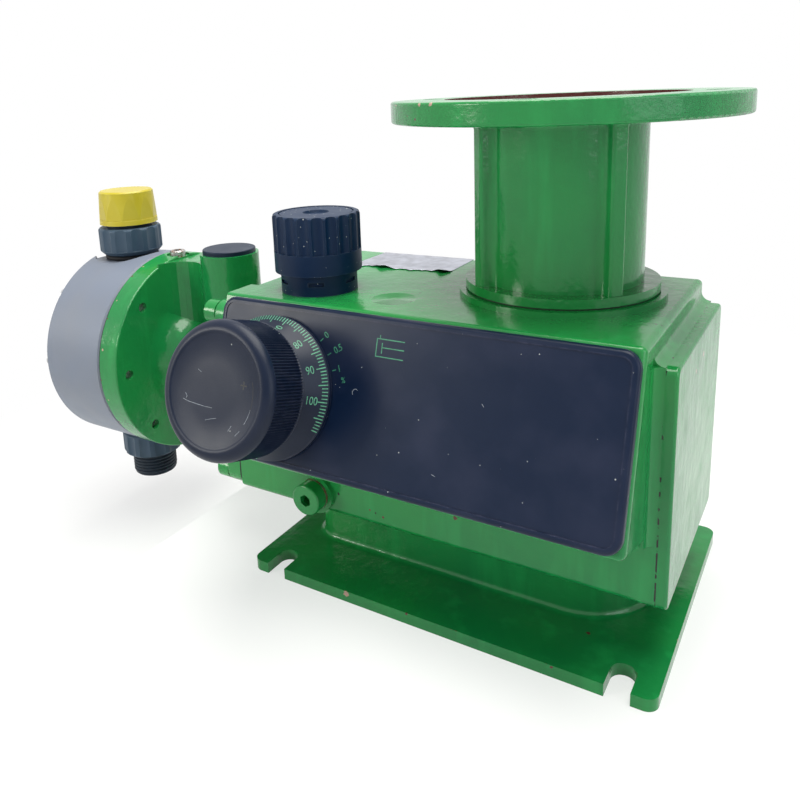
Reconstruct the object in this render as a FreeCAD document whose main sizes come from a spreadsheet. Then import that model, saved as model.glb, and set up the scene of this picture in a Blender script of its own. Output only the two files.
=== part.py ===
import FreeCAD, Part
import math
import os

import Sketcher

# Diaphragm metering pump, millimetres, +Z up. The origin is the centre of the
# base plate's underside, +X runs from the dosing head to the gear housing's
# end cover, and the sloping front panel looks along -Y.

SIZES = {
    # base plate and plinth
    "foot_length": 212.0, "foot_depth": 146.0, "foot_thick": 6.0, "foot_corner": 5.5,
    "slot_width": 11.0, "slot_pitch_x": 180.0, "slot_pitch_y": 124.0,
    "plinth_left": 90.0, "plinth_right": 88.0, "plinth_depth": 71.0, "plinth_rise": 28.0,
    "plinth_corner": 14.0, "plinth_nose": 34.0, "plinth_root": 3.0,
    "foot_screw_pitch": 104.0, "foot_screw_radius": 5.0,
    "foot_screw_head": 8.0, "foot_screw_head_rise": 10.0, "foot_screw_room": 0.5,
    # gear housing
    "case_left": 127.0, "case_right": 99.6, "case_front": 53.6, "case_back": 53.3,
    "case_rise": 108.5, "case_edge": 4.0, "wall": 7.0,
    "roof_rise": 11.2, "roof_left": 110.0, "roof_edge": 3.0, "cove": 4.5,
    "console_left": 115.0, "console_right": 95.0, "console_tilt": 17.6,
    "console_edge": 2.0, "console_root": 7.0, "panel_front": 69.9, "panel_slope": 78.5,
    "panel_lip": 1.5, "panel_left": 113.6, "panel_right": 94.2, "panel_thick": 4.0,
    "panel_corner": 7.5, "panel_rim": 3.0, "panel_rim_rise": 0.4, "panel_edge": 2.0,
    "cover_thick": 5.0, "cover_edge": 1.5, "cover_spigot": 6.0, "cover_play": 0.15,
    "window_inner": 37.0, "window_right": 28.0,
    # stroke knob and its spindle
    "knob_x": 75.6, "knob_slope": 41.4, "dial_radius": 35.0, "dial_thick": 2.7,
    "dial_gap": 0.3, "knob_radius": 31.9, "knob_rise": 42.6, "knob_skirt": 2.2,
    "knob_skirt_rise": 3.5, "knob_rim": 5.0, "knob_groove": 0.65, "knob_grooves": 120.0,
    "knob_bore_depth": 24.0,
    "spindle_radius": 6.0, "spindle_bore_play": 0.05, "bush_wall": 3.5, "bush_length": 14.0,
    "bush_flange": 2.0, "cam_low": 10.0, "cam_thick": 7.0, "cam_sweep": 270.0,
    "cam_rest": 0.82, "cam_depth": 16.0, "cam_land": 15.0,
    # motor adaptor
    "motor_x": 38.5, "motor_y": 4.1, "motor_turn": 5.0, "flange_top": 247.0,
    "flange_radius": 80.0, "flange_thick": 10.0, "flange_edge": 1.2, "spigot_radius": 55.0,
    "spigot_depth": 4.0, "flange_bolt_circle": 130.0, "flange_bolt_radius": 5.0,
    "neck_radius": 38.2, "neck_bore": 31.0, "neck_root": 4.0, "rib_radius": 44.6,
    "rib_width": 7.5, "ring_radius": 45.8, "ring_thick": 4.2, "rib_side": 4.0, "pad_radius": 49.0,
    "pad_rise": 2.6, "sill_bore": 21.0, "sill_rise": 9.0,
    "adaptor_screw_radius": 3.0, "adaptor_screw_circle": 52.0,
    "adaptor_screw_head": 5.0, "adaptor_screw_head_rise": 6.0, "gasket_thick": 0.8,
    # filler neck and cap
    "filler_x": 75.8, "filler_y": 37.9, "filler_collar": 19.75, "filler_collar_rise": 10.3,
    "filler_bore": 11.0, "filler_thread": 15.0, "filler_slots": 6.0, "filler_slot_width": 8.0,
    "filler_slot_depth": 1.6, "cap_radius": 22.5, "cap_rise": 29.5, "cap_gap": 0.3,
    "cap_skirt": 10.6, "cap_flutes": 20.0, "cap_flute_radius": 4.2, "cap_flute_depth": 1.4,
    "cap_lid": 18.6, "cap_seam": 0.8, "cap_dimple": 7.0, "cap_dimple_depth": 1.6, "cap_edge": 1.6, "cap_stem": 10.7,
    "cap_stem_depth": 8.0,
    # oil drain
    "drain_x": 74.0, "drain_rise": 10.6, "drain_boss": 11.0, "drain_boss_rise": 2.4,
    "drain_collar": 8.5, "drain_head": 7.0, "drain_washer": 1.5, "drain_thread": 6.0,
    "drain_reach": 14.0, "hex_key": 6.0, "hex_depth": 5.0,
    # pump carrier
    "pump_rise": 88.7, "carrier_gasket": 1.0, "carrier_plate": 10.0, "carrier_corner": 8.0,
    "carrier_screw_inset": 7.0, "screw_radius": 4.0, "screw_head": 6.5, "screw_head_rise": 8.5,
    "screw_grip": 16.0, "screw_room": 0.3, "neck_large": 38.0, "neck_small": 24.0,
    "neck_end": 193.0, "web_root": 16.0, "web_half": 7.5, "web_round": 15.2, "web_rise": 62.6, "chamber_radius": 42.0, "pump_flange_start": 211.2,
    "pump_flange_thick": 14.7, "pump_flange_radius": 64.9, "pump_flange_edge": 1.0,
    "chamber_depth": 13.0, "tube_x": 171.5, "tube_radius": 18.2, "tube_top": 158.0,
    "tube_bore": 13.6, "tube_floor": 112.0, "head_bolt_circle": 110.0, "head_bolt_radius": 3.0,
    "head_bolt_play": 0.25, "head_bolt_recess": 3.8, "guide_bore": 11.0,
    "guide_bush_length": 18.0, "plug_head": 16.4, "plug_head_rise": 2.8, "plug_stem": 12.0,
    "plug_play": 0.1, "lug_radius": 5.0, "lug_head_rise": 4.0, "lug_flat_drop": 1.6, "lug_flat": 7.2,
    "lug_inset": 5.4, "lug_shank": 2.5, "lug_depth": 9.0,
    # diaphragm and dosing head
    "diaphragm_thick": 2.1, "diaphragm_radius": 63.5, "core_radius": 25.0, "core_gap": 0.3,
    "core_rear": 3.0, "head_length": 51.0, "head_radius": 64.5, "head_edge": 2.0,
    "head_chamber": 42.0, "head_chamber_depth": 5.0, "head_port": 8.0, "valve_x": 260.0,
    "flat_drop": 4.5, "flat_radius": 24.0, "bolt_head_radius": 5.0, "bolt_head_rise": 5.5,
    "bolt_washer_radius": 6.4, "bolt_washer_thick": 1.6, "bolt_counterbore": 7.0,
    "bolt_counterbore_depth": 0.8,
    # valves
    "valve_radius": 14.5, "valve_bore": 6.0, "valve_seat_depth": 22.0, "nut_radius": 20.5,
    "nut_rise": 18.0, "nut_gap": 0.3, "nut_foot": 5.0, "nut_standoff": 3.5, "nut_edge": 2.0,
    "nut_ribs": 12.0, "nut_rib_cut": 9.0, "nut_rib_depth": 1.1, "ball_radius": 5.0, "ball_lift": 2.0,
    "seat_thick": 3.0, "seat_bore": 3.5, "cage_bore": 7.0, "suction_reach": 9.5,
    "oring_wire": 1.5, "transport_base": 19.0, "transport_top": 17.6, "transport_rise": 22.0,
    "transport_gap": 0.3, "transport_wall": 2.5, "discharge_reach": 16.0,
    # worm drive
    "module": 2.5, "wheel_teeth": 23.0, "worm_pitch_radius": 12.0, "worm_turns": 4.0,
    "tooth_play": 0.45, "wheel_width": 12.0, "worm_bore_shaft": 8.5, "worm_foot": 46.0,
    "coupling_radius": 12.5, "coupling_top": 240.0, "coupling_bore": 7.0,
    "coupling_depth": 32.0, "key_width": 5.0, "key_depth": 2.3, "bearing_outer": 20.0,
    "bearing_width": 12.0, "bearing_ring": 3.2, "seal_width": 7.0, "shaft_radius": 8.5,
    "hub_radius": 15.0,
    # eccentric and plunger
    "throw": 4.5, "eccentric_turn": 45.0, "eccentric_radius": 17.5,
    "eccentric_bearing": 23.5, "eccentric_width": 13.5, "eccentric_gap": 1.6, "rod_radius": 8.0, "rod_play": 0.03, "contact_gap": 0.3,
    "stroke": 9.0, "rod_gap": 1.0, "collar_radius": 22.0,
    "collar_thick": 5.0, "spring_wire": 2.2, "spring_radius": 14.0, "spring_turns": 5.0,
    "spring_seat_radius": 18.0, "spring_seat_thick": 3.0, "rod_seal_width": 7.0,
}

doc = FreeCAD.newDocument("diaphragm_metering_pump")
sheet = doc.addObject("Spreadsheet::Sheet", "sizes")


class Size:
    """A length, count or angle with the sheet expression that gives it."""

    def __init__(self, value, text):
        self.value = float(value)
        self.text = text

    def __add__(self, other):
        other = as_size(other)
        return Size(self.value + other.value, f"({self.text} + {other.text})")

    def __sub__(self, other):
        other = as_size(other)
        return Size(self.value - other.value, f"({self.text} - {other.text})")

    def __mul__(self, other):
        other = as_size(other)
        return Size(self.value * other.value, f"({self.text} * {other.text})")

    def __truediv__(self, other):
        other = as_size(other)
        return Size(self.value / other.value, f"({self.text} / {other.text})")

    def __neg__(self):
        return Size(-self.value, f"(0 - {self.text})")

    def __radd__(self, other):
        return as_size(other) + self

    def __rsub__(self, other):
        return as_size(other) - self

    def __rmul__(self, other):
        return as_size(other) * self


def as_size(number):
    if isinstance(number, Size):
        return number
    return Size(number, f"({float(number)!r})")


def sine(angle):
    return Size(math.sin(math.radians(angle.value)), f"sin({angle.text})")


def cosine(angle):
    return Size(math.cos(math.radians(angle.value)), f"cos({angle.text})")


def tangent(angle):
    return Size(math.tan(math.radians(angle.value)), f"tan({angle.text})")


class Sizes:
    """The sheet's cells by name."""


s = Sizes()
for row, (name, number) in enumerate(SIZES.items(), start=1):
    sheet.set(f"A{row}", name)
    sheet.set(f"B{row}", str(number))
    sheet.setAlias(f"B{row}", name)
    setattr(s, name, Size(number, f"sizes.{name}"))
doc.recompute()

NODES = []


def bind(thing, prop, size):
    thing.setExpression(prop, as_size(size).text)


def place(thing, at, turn=None):
    """Puts a piece at a point whose three coordinates follow the sheet."""
    point = [as_size(c) for c in at]
    base = FreeCAD.Vector(*[c.value for c in point])
    thing.Placement = FreeCAD.Placement(base, turn or FreeCAD.Rotation())
    for letter, coordinate in zip("xyz", point):
        bind(thing, f"Placement.Base.{letter}", coordinate)


TURNS = {
    "z": FreeCAD.Rotation(),
    "-z": FreeCAD.Rotation(FreeCAD.Vector(1, 0, 0), 180),
    "x": FreeCAD.Rotation(FreeCAD.Vector(0, 1, 0), 90),
    "-x": FreeCAD.Rotation(FreeCAD.Vector(0, 1, 0), -90),
    "y": FreeCAD.Rotation(FreeCAD.Vector(1, 0, 0), -90),
    "-y": FreeCAD.Rotation(FreeCAD.Vector(1, 0, 0), 90),
}


def new_body(name):
    return doc.addObject("PartDesign::Body", name)


def part_of(body, kind, name):
    return body.newObject(f"PartDesign::{kind}", f"{body.Name}_{name}")


def finish(body, tip=None):
    if tip is not None:
        body.Tip = tip
    doc.recompute()
    return body


def cylinder(body, name, radius, length, at, axis="z", cut=False):
    kind = "SubtractiveCylinder" if cut else "AdditiveCylinder"
    piece = part_of(body, kind, name)
    bind(piece, "Radius", radius)
    bind(piece, "Height", length)
    place(piece, at, TURNS[axis])
    return finish(body, piece) and piece


def cone(body, name, radius, far_radius, length, at, axis="z", cut=False):
    kind = "SubtractiveCone" if cut else "AdditiveCone"
    piece = part_of(body, kind, name)
    bind(piece, "Radius1", radius)
    bind(piece, "Radius2", far_radius)
    bind(piece, "Height", length)
    place(piece, at, TURNS[axis])
    return finish(body, piece) and piece


def block(body, name, lengths, at, cut=False):
    """A box from its low corner."""
    kind = "SubtractiveBox" if cut else "AdditiveBox"
    piece = part_of(body, kind, name)
    for prop, size in zip(("Length", "Width", "Height"), lengths):
        bind(piece, prop, size)
    place(piece, at)
    return finish(body, piece) and piece


def sketch(body, name, role, loops, offset=0.0):
    """Closed loops of corners, or (x, y, radius) circles, on one of the body's planes."""
    drawing = body.newObject("Sketcher::SketchObject", f"{body.Name}_{name}")
    plane = [f for f in body.Origin.OriginFeatures if f.Role == role][0]
    drawing.AttachmentSupport = [(plane, "")]
    drawing.MapMode = "FlatFace"
    offset = as_size(offset)
    drawing.AttachmentOffset = FreeCAD.Placement(
        FreeCAD.Vector(0, 0, offset.value), FreeCAD.Rotation())
    bind(drawing, "AttachmentOffset.Base.z", offset)
    for loop in loops:
        if isinstance(loop, tuple):
            add_circle(drawing, *[as_size(c) for c in loop])
        else:
            add_polygon(drawing, loop)
    return drawing


def fix_point(drawing, geometry, corner, at):
    """Holds a point of the sketch at coordinates from the sheet."""
    for axis, kind, coordinate in ((-2, "DistanceX", at[0]), (-1, "DistanceY", at[1])):
        if not isinstance(coordinate, Size) and coordinate == 0:
            drawing.addConstraint(Sketcher.Constraint("PointOnObject", geometry, corner, axis))
            continue
        size = as_size(coordinate)
        number = drawing.addConstraint(
            Sketcher.Constraint(kind, -1, 1, geometry, corner, size.value))
        drawing.setExpression(f"Constraints[{number}]", size.text)


def add_circle(drawing, x, y, radius):
    circle = Part.Circle(
        FreeCAD.Vector(x.value, y.value, 0), FreeCAD.Vector(0, 0, 1), radius.value)
    index = drawing.addGeometry(circle)
    fix_point(drawing, index, 3, (x if x.value else 0, y if y.value else 0))
    number = drawing.addConstraint(Sketcher.Constraint("Radius", index, radius.value))
    drawing.setExpression(f"Constraints[{number}]", radius.text)


def add_polygon(drawing, corners):
    points = [FreeCAD.Vector(as_size(x).value, as_size(y).value, 0) for x, y in corners]
    following = points[1:] + points[:1]
    edges = [drawing.addGeometry(Part.LineSegment(a, b)) for a, b in zip(points, following)]
    for edge, after in zip(edges, edges[1:] + edges[:1]):
        drawing.addConstraint(Sketcher.Constraint("Coincident", edge, 2, after, 1))
    for edge, corner in zip(edges, corners):
        fix_point(drawing, edge, 1, corner)


def pad(body, name, role, loops, start, length):
    feature = part_of(body, "Pad", name)
    feature.Profile = sketch(body, name + "_outline", role, loops, start)
    bind(feature, "Length", length)
    finish(body, feature)
    return feature


def pocket(body, name, role, loops, start, length):
    """Cuts along the plane's own direction, from the start plane on."""
    before = body.Tip.Shape.Volume
    feature = part_of(body, "Pocket", name)
    feature.Profile = sketch(body, name + "_outline", role, loops, start)
    bind(feature, "Length", length)
    feature.Reversed = True
    finish(body, feature)
    check_smaller(body, before, name)
    return feature


def check_smaller(body, before, name):
    if not body.Tip.Shape.Volume < before - 1e-6:
        raise RuntimeError(f"{body.Name}: {name} cuts nothing")


def revolve(body, name, loops):
    """A ring or disc about the body's own Z axis from radius and height pairs."""
    feature = part_of(body, "Revolution", name)
    drawing = sketch(body, name + "_profile", "XZ_Plane", loops)
    feature.Profile = drawing
    feature.ReferenceAxis = (drawing, ["V_Axis"])
    feature.Angle = 360
    finish(body, feature)
    return feature


def around(body, feature, count, sweep=360.0):
    """Repeats a feature about the body's Z axis."""
    pattern = part_of(body, "PolarPattern", feature.Name + "_pattern")
    pattern.Originals = [feature]
    axis = [f for f in body.Origin.OriginFeatures if f.Role == "Z_Axis"][0]
    pattern.Axis = (axis, [""])
    pattern.Angle = sweep
    bind(pattern, "Occurrences", count)
    finish(body, pattern)
    return pattern


def dress(body, kind, size, choose):
    """A fillet or chamfer on the edges that the test picks."""
    base = body.Tip
    names = [f"Edge{i}" for i, edge in enumerate(base.Shape.Edges, start=1)
             if not edge.Degenerated and choose(edge)]
    if not names:
        raise RuntimeError(f"{body.Name}: no edge to {kind}")
    feature = part_of(body, kind, f"{kind.lower()}_{len(body.Group)}")
    feature.Base = (base, names)
    bind(feature, "Radius" if kind == "Fillet" else "Size", size)
    finish(body, feature)
    return feature


def is_circle(edge, radius, height):
    """True for a full circle about Z of that radius at that height."""
    curve = edge.Curve
    if curve.TypeId != "Part::GeomCircle" or abs(curve.Radius - as_size(radius).value) > 1e-4:
        return False
    return abs(curve.Center.z - as_size(height).value) < 1e-4 and edge.Length > curve.Radius * 6.2


def is_line(edge, direction, **at):
    """True for a straight edge along an axis, at the coordinates given."""
    if edge.Curve.TypeId != "Part::GeomLine":
        return False
    if abs(abs(getattr(edge.Curve.Direction, direction)) - 1) > 1e-6:
        return False
    middle = edge.CenterOfMass
    return all(abs(getattr(middle, k) - as_size(v).value) < 1e-3 for k, v in at.items())


def node(thing, label):
    thing.Label = label
    NODES.append(thing)
    return thing


def solids_node(label, shape, at=(0, 0, 0), turn=None):
    """A piece whose shape comes from the Part functions; its place follows the sheet."""
    thing = doc.addObject("Part::Feature", label + "_shape")
    thing.Shape = shape
    place(thing, at, turn)
    doc.recompute()
    return node(thing, label)


def group(label, bodies):
    """Several like pieces in one node."""
    thing = doc.addObject("Part::Compound", label + "_set")
    thing.Links = bodies
    doc.recompute()
    return node(thing, label)


def ring(name, outer, inner, length, at, axis="z"):
    """A plain ring or washer as a body of its own."""
    body = new_body(name)
    revolve(body, "turned", [[(inner, 0), (outer, 0), (outer, length), (inner, length)]])
    place(body, at, TURNS[axis])
    return body


def screw(name, radius, length, head, head_rise, at, axis, key):
    """A socket-head screw whose head stands from the point given, along the axis."""
    body = new_body(name)
    revolve(body, "turned", [[
        (0, -length), (radius, -length), (radius, 0), (head, 0), (head, head_rise),
        (0, head_rise)]])
    dress(body, "Chamfer", head * 0.12, lambda e: is_circle(e, head, head_rise))
    hexagon = [(key / 2.0 * (math.cos(math.radians(60 * k + 30)) / math.cos(math.radians(30))),
                key / 2.0 * (math.sin(math.radians(60 * k + 30)) / math.cos(math.radians(30))))
               for k in range(6)]
    pocket(body, "socket", "XY_Plane", [hexagon], head_rise * 0.4, head_rise)
    place(body, at, TURNS[axis])
    return body


# Base plate with its plinth: a cast plate with four open U slots for the
# ground bolts, and a plinth with rounded ends that carries the gear housing.
plinth_top = s.foot_thick + s.plinth_rise
half_x, half_y = s.foot_length / 2, s.foot_depth / 2
foot = new_body("base_foot_casting")
pad(foot, "plate", "XY_Plane",
    [[(-half_x, -half_y), (half_x, -half_y), (half_x, half_y), (-half_x, half_y)]],
    0, s.foot_thick)
dress(foot, "Fillet", s.foot_corner,
      lambda e: is_line(e, "z") and abs(abs(e.CenterOfMass.x) - half_x.value) < 0.01)
half_plinth = s.plinth_depth / 2
pad(foot, "rise", "XY_Plane",
    [[(-s.plinth_left, -half_plinth), (s.plinth_right, -half_plinth),
      (s.plinth_right, half_plinth), (-s.plinth_left, half_plinth)]], 0, plinth_top)
dress(foot, "Fillet", s.plinth_corner,
      lambda e: is_line(e, "z") and abs(e.CenterOfMass.x + s.plinth_left.value) < 0.01)
dress(foot, "Fillet", s.plinth_nose,
      lambda e: is_line(e, "z") and abs(e.CenterOfMass.x - s.plinth_right.value) < 0.01)
dress(foot, "Fillet", s.plinth_root,
      lambda e: abs(e.CenterOfMass.z - s.foot_thick.value) < 0.001
      and abs(e.CenterOfMass.x) < s.plinth_right.value + 0.1
      and abs(e.CenterOfMass.y) < half_plinth.value + 0.1)
for side_x in (-1, 1):
    for side_y in (-1, 1):
        tag = f"slot_{'w' if side_x < 0 else 'e'}{'s' if side_y < 0 else 'n'}"
        slot_x = s.slot_pitch_x / 2 * side_x
        slot_y = s.slot_pitch_y / 2 * side_y
        cylinder(foot, tag + "_end", s.slot_width / 2, s.foot_thick, (slot_x, slot_y, 0),
                 cut=True)
        low_y = slot_y if side_y > 0 else -half_y
        block(foot, tag, (s.slot_width, half_y - s.slot_pitch_y / 2, s.foot_thick),
              (slot_x - s.slot_width / 2, low_y, 0), cut=True)
for side in (-1, 1):
    at_x = s.foot_screw_pitch / 2 * side
    cylinder(foot, f"through_{side + 1}", s.foot_screw_radius + s.foot_screw_room, plinth_top,
             (at_x, 0, 0), cut=True)
    cylinder(foot, f"counterbore_{side + 1}", s.foot_screw_head + s.foot_screw_room,
             s.foot_screw_head_rise + s.foot_thick, (at_x, 0, 0), cut=True)
node(foot, "base_foot")

screw_seat = s.foot_screw_head_rise + s.foot_thick
foot_screws = [
    screw(f"foot_screw_{k}", s.foot_screw_radius, plinth_top + s.wall - screw_seat,
          s.foot_screw_head, s.foot_screw_head_rise,
          (s.foot_screw_pitch / 2 * side, 0, screw_seat), "-z", s.foot_screw_head)
    for k, side in enumerate((-1, 1))]
group("foot_screws", foot_screws)

# Gear housing: one casting, a box with a raised roof and the sloping console.
# Heights are from the base; the panel frame has its Y up the slope and its Z
# out of the panel's face, with its origin on the panel's top edge.
case_low = plinth_top
case_top = case_low + s.case_rise
roof_top = case_top + s.roof_rise
pump_z = s.pump_rise
case_length = s.case_left + s.case_right
sin_tilt, cos_tilt, tan_tilt = sine(s.console_tilt), cosine(s.console_tilt), tangent(s.console_tilt)


def slope_point(down, out):
    """The Y and Z of a point given down the panel's slope and out of its face."""
    return (-s.panel_front - sin_tilt * down - cos_tilt * out,
            roof_top - cos_tilt * down + sin_tilt * out)


console_bottom = s.panel_slope + s.panel_lip
face_top = slope_point(-(s.panel_thick * tan_tilt), -s.panel_thick)
face_low = slope_point(console_bottom, -s.panel_thick)
under_run = (0 - s.case_front - face_low[0]) / cos_tilt
under_root = slope_point(console_bottom, -s.panel_thick - under_run)
root_reach = s.console_root / tangent((s.console_tilt + 90) / 2)
root_out = slope_point(console_bottom, root_reach - s.panel_thick - under_run)
root_low = under_root[1] - root_reach

knob_x = -s.knob_x
knob_foot = slope_point(s.knob_slope, 0)
knob_at = (knob_x,) + knob_foot


def panel_turn():
    """Turns a piece's Z axis to the console's outward normal."""
    return FreeCAD.Rotation(FreeCAD.Vector(1, 0, 0), 90.0 - s.console_tilt.value)


housing = new_body("gear_housing")
pad(housing, "case", "YZ_Plane",
    [[(-s.case_front, case_low), (s.case_back, case_low), (s.case_back, case_top),
      (-s.case_front, case_top)]], -s.case_left, case_length)
dress(housing, "Fillet", s.case_edge,
      lambda e: is_line(e, "x") and e.CenterOfMass.z < case_top.value - 1)
pad(housing, "roof", "YZ_Plane",
    [[(-s.case_front + s.wall, case_top - s.case_edge), (s.case_back, case_top - s.case_edge),
      (s.case_back, roof_top), (-s.case_front + s.wall, roof_top)]],
    -s.roof_left, s.roof_left + s.console_right)
pad(housing, "console", "YZ_Plane",
    [[face_top, face_low, root_out, (-s.case_front, root_low),
      (-s.case_front + s.wall, root_low), (-s.case_front + s.wall, roof_top)]],
    -s.console_left, s.console_left + s.console_right)
cylinder(housing, "console_root", s.console_root, s.console_left + s.console_right,
         (-s.console_left, -s.case_front - s.console_root, root_low), "x", cut=True)
dress(housing, "Fillet", s.console_edge,
      lambda e: is_line(e, "x") and e.CenterOfMass.y < root_out[0].value - 1)
dress(housing, "Fillet", s.roof_edge,
      lambda e: abs(e.CenterOfMass.z - roof_top.value) < 0.01
      and (abs(e.CenterOfMass.x - s.console_right.value) < 0.01
           or abs(e.CenterOfMass.y - s.case_back.value) < 0.01))
cove_x = s.console_right + s.cove
flank_low = root_low + s.cove
pad(housing, "flank_cove", "XY_Plane",
    [[(s.console_right - 1, 1 - s.case_front), (s.console_right - 1, -s.case_front - s.cove),
      (s.console_right, -s.case_front - s.cove), (cove_x, -s.case_front),
      (cove_x, 1 - s.case_front)]], flank_low, case_top - flank_low)
cylinder(housing, "flank_round", s.cove, case_top - flank_low,
         (cove_x, -s.case_front - s.cove, flank_low), cut=True)
pad(housing, "roof_cove", "XZ_Plane",
    [[(s.console_right - 1, case_top - 1), (cove_x, case_top - 1), (cove_x, case_top),
      (s.console_right, case_top + s.cove), (s.console_right - 1, case_top + s.cove)]],
    -s.case_back, s.case_front + s.case_back)
cylinder(housing, "roof_round", s.cove, s.case_front + s.case_back,
         (cove_x, -s.case_front, case_top + s.cove), axis="y", cut=True)
cylinder(housing, "motor_pad", s.pad_radius, s.pad_rise + s.roof_rise / 2,
         (s.motor_x, s.motor_y, roof_top - s.roof_rise / 2))
drain_z = case_low + s.drain_rise
cylinder(housing, "drain_boss", s.drain_boss, s.drain_boss_rise + s.wall / 2,
         (-s.drain_x, -s.case_front + s.wall / 2, drain_z), axis="-y")

# Its inside: the gear chamber opens at the right end, and two windows in the
# front wall lead into the console.
block(housing, "chamber",
      (case_length - s.wall, s.case_front + s.case_back - s.wall * 2, s.case_rise - s.wall * 2),
      (-s.case_left + s.wall, -s.case_front + s.wall, case_low + s.wall), cut=True)
cavity_low = slope_point(console_bottom - s.wall, -s.panel_thick - s.wall)
cavity_root = slope_point(console_bottom - s.wall, -s.panel_thick - under_run)
cavity_top = slope_point(s.wall, -s.panel_thick - s.wall)
pocket(housing, "console_cavity", "YZ_Plane",
       [[cavity_top, cavity_low, cavity_root, (-s.case_front, roof_top - s.wall)]],
       -s.console_left + s.wall, s.console_left + s.console_right - s.wall * 2)
window_low = cavity_root[1] + s.wall
block(housing, "left_window",
      (s.console_left - s.window_inner - s.wall, s.wall * 2, case_top - s.wall - window_low),
      (-s.console_left + s.wall, -s.case_front - s.wall / 2, window_low), cut=True)
block(housing, "right_window",
      (s.console_right - s.window_right - s.wall, s.wall * 2, case_top - s.wall - window_low),
      (s.window_right, -s.case_front - s.wall / 2, window_low), cut=True)

bush_bore_low = slope_point(s.knob_slope, -s.panel_thick - s.wall * 2)
bush_bore = part_of(housing, "SubtractiveCylinder", "bush_bore")
bind(bush_bore, "Radius", s.spindle_radius + s.bush_wall)
bind(bush_bore, "Height", s.wall * 3)
place(bush_bore, (knob_x,) + bush_bore_low, panel_turn())
finish(housing, bush_bore)

# Bearing bosses for the worm and the wheel shaft, then the bores.
wheel_pitch = s.module * s.wheel_teeth / 2
centre_distance = wheel_pitch + s.worm_pitch_radius
wheel_x = s.motor_x - centre_distance
boss_wall = s.bearing_outer + s.wall * 0.6
lower_top = s.worm_foot + s.bearing_width
cylinder(housing, "worm_boss", boss_wall, lower_top - case_low - s.wall / 2,
         (s.motor_x, s.motor_y, case_low + s.wall / 2))
cylinder(housing, "worm_top_boss", boss_wall, s.bearing_width + s.wall / 2,
         (s.motor_x, s.motor_y, case_top - s.wall / 2 - s.bearing_width))
inner_front = -s.case_front + s.wall
inner_back = s.case_back - s.wall
cylinder(housing, "front_boss", boss_wall, s.bearing_width + s.wall / 2,
         (wheel_x, inner_front - s.wall / 2, pump_z), axis="y")
cylinder(housing, "back_boss", boss_wall, s.bearing_width + s.wall / 2,
         (wheel_x, inner_back + s.wall / 2, pump_z), axis="-y")
cylinder(housing, "front_bearing_bore", s.bearing_outer, s.bearing_width,
         (wheel_x, inner_front, pump_z), axis="y", cut=True)
cylinder(housing, "back_bearing_bore", s.bearing_outer, s.bearing_width,
         (wheel_x, inner_back, pump_z), axis="-y", cut=True)
cylinder(housing, "worm_foot_bore", s.bearing_outer, s.bearing_width,
         (s.motor_x, s.motor_y, s.worm_foot), cut=True)
pad_top = roof_top + s.pad_rise
upper_low = case_top - s.wall - s.bearing_width / 2
cylinder(housing, "worm_top_bore", s.bearing_outer, s.bearing_width + s.wall * 2,
         (s.motor_x, s.motor_y, upper_low - s.wall * 2), cut=True)
upper_face = upper_low + s.bearing_width - s.wall
seal_outer = s.bearing_outer - 2
cylinder(housing, "worm_seal_bore", seal_outer, pad_top - upper_low,
         (s.motor_x, s.motor_y, upper_low), cut=True)
adaptor_points = []
for k in range(4):
    angle = s.motor_turn + 45 + 90 * k
    adaptor_points.append((s.motor_x + s.adaptor_screw_circle / 2 * cosine(angle),
                           s.motor_y + s.adaptor_screw_circle / 2 * sine(angle)))
for k, (hole_x, hole_y) in enumerate(adaptor_points):
    cylinder(housing, f"adaptor_thread_{k}", s.adaptor_screw_radius, s.sill_rise * 2,
             (hole_x, hole_y, pad_top - s.sill_rise * 2), cut=True)
for side in (-1, 1):
    cylinder(housing, f"foot_thread_{side + 1}", s.foot_screw_radius,
             s.wall, (s.foot_screw_pitch / 2 * side, 0, case_low), cut=True)
cylinder(housing, "filler_hole", s.filler_thread, s.roof_rise + s.wall * 2,
         (-s.filler_x, -s.filler_y, roof_top - s.roof_rise - s.wall * 2), cut=True)
cylinder(housing, "drain_hole", s.drain_thread + s.rod_play, s.drain_boss_rise + s.wall * 2,
         (-s.drain_x, -s.case_front - s.drain_boss_rise, drain_z), axis="y", cut=True)
spigot_radius = s.neck_large - s.wall
cylinder(housing, "carrier_bore", spigot_radius, s.wall * 2,
         (-s.case_left - s.wall / 2, 0, pump_z), axis="x", cut=True)
screw_y = s.case_front - s.carrier_screw_inset
screw_low = case_low + s.carrier_screw_inset
screw_high = case_top - s.carrier_screw_inset
carrier_corners = ((-screw_y, screw_low), (screw_y, screw_low), (-screw_y, screw_high),
                   (screw_y, screw_high))
for k, (hole_y, hole_z) in enumerate(carrier_corners):
    cylinder(housing, f"carrier_boss_{k}", s.screw_radius * 1.6, s.screw_grip,
             (-s.case_left + s.wall / 2, hole_y, hole_z), axis="x")
for k, (hole_y, hole_z) in enumerate(carrier_corners):
    cylinder(housing, f"carrier_thread_{k}", s.screw_radius, s.screw_grip - s.carrier_plate / 2,
             (-s.case_left, hole_y, hole_z), axis="x", cut=True)
node(housing, "gear_housing")

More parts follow.
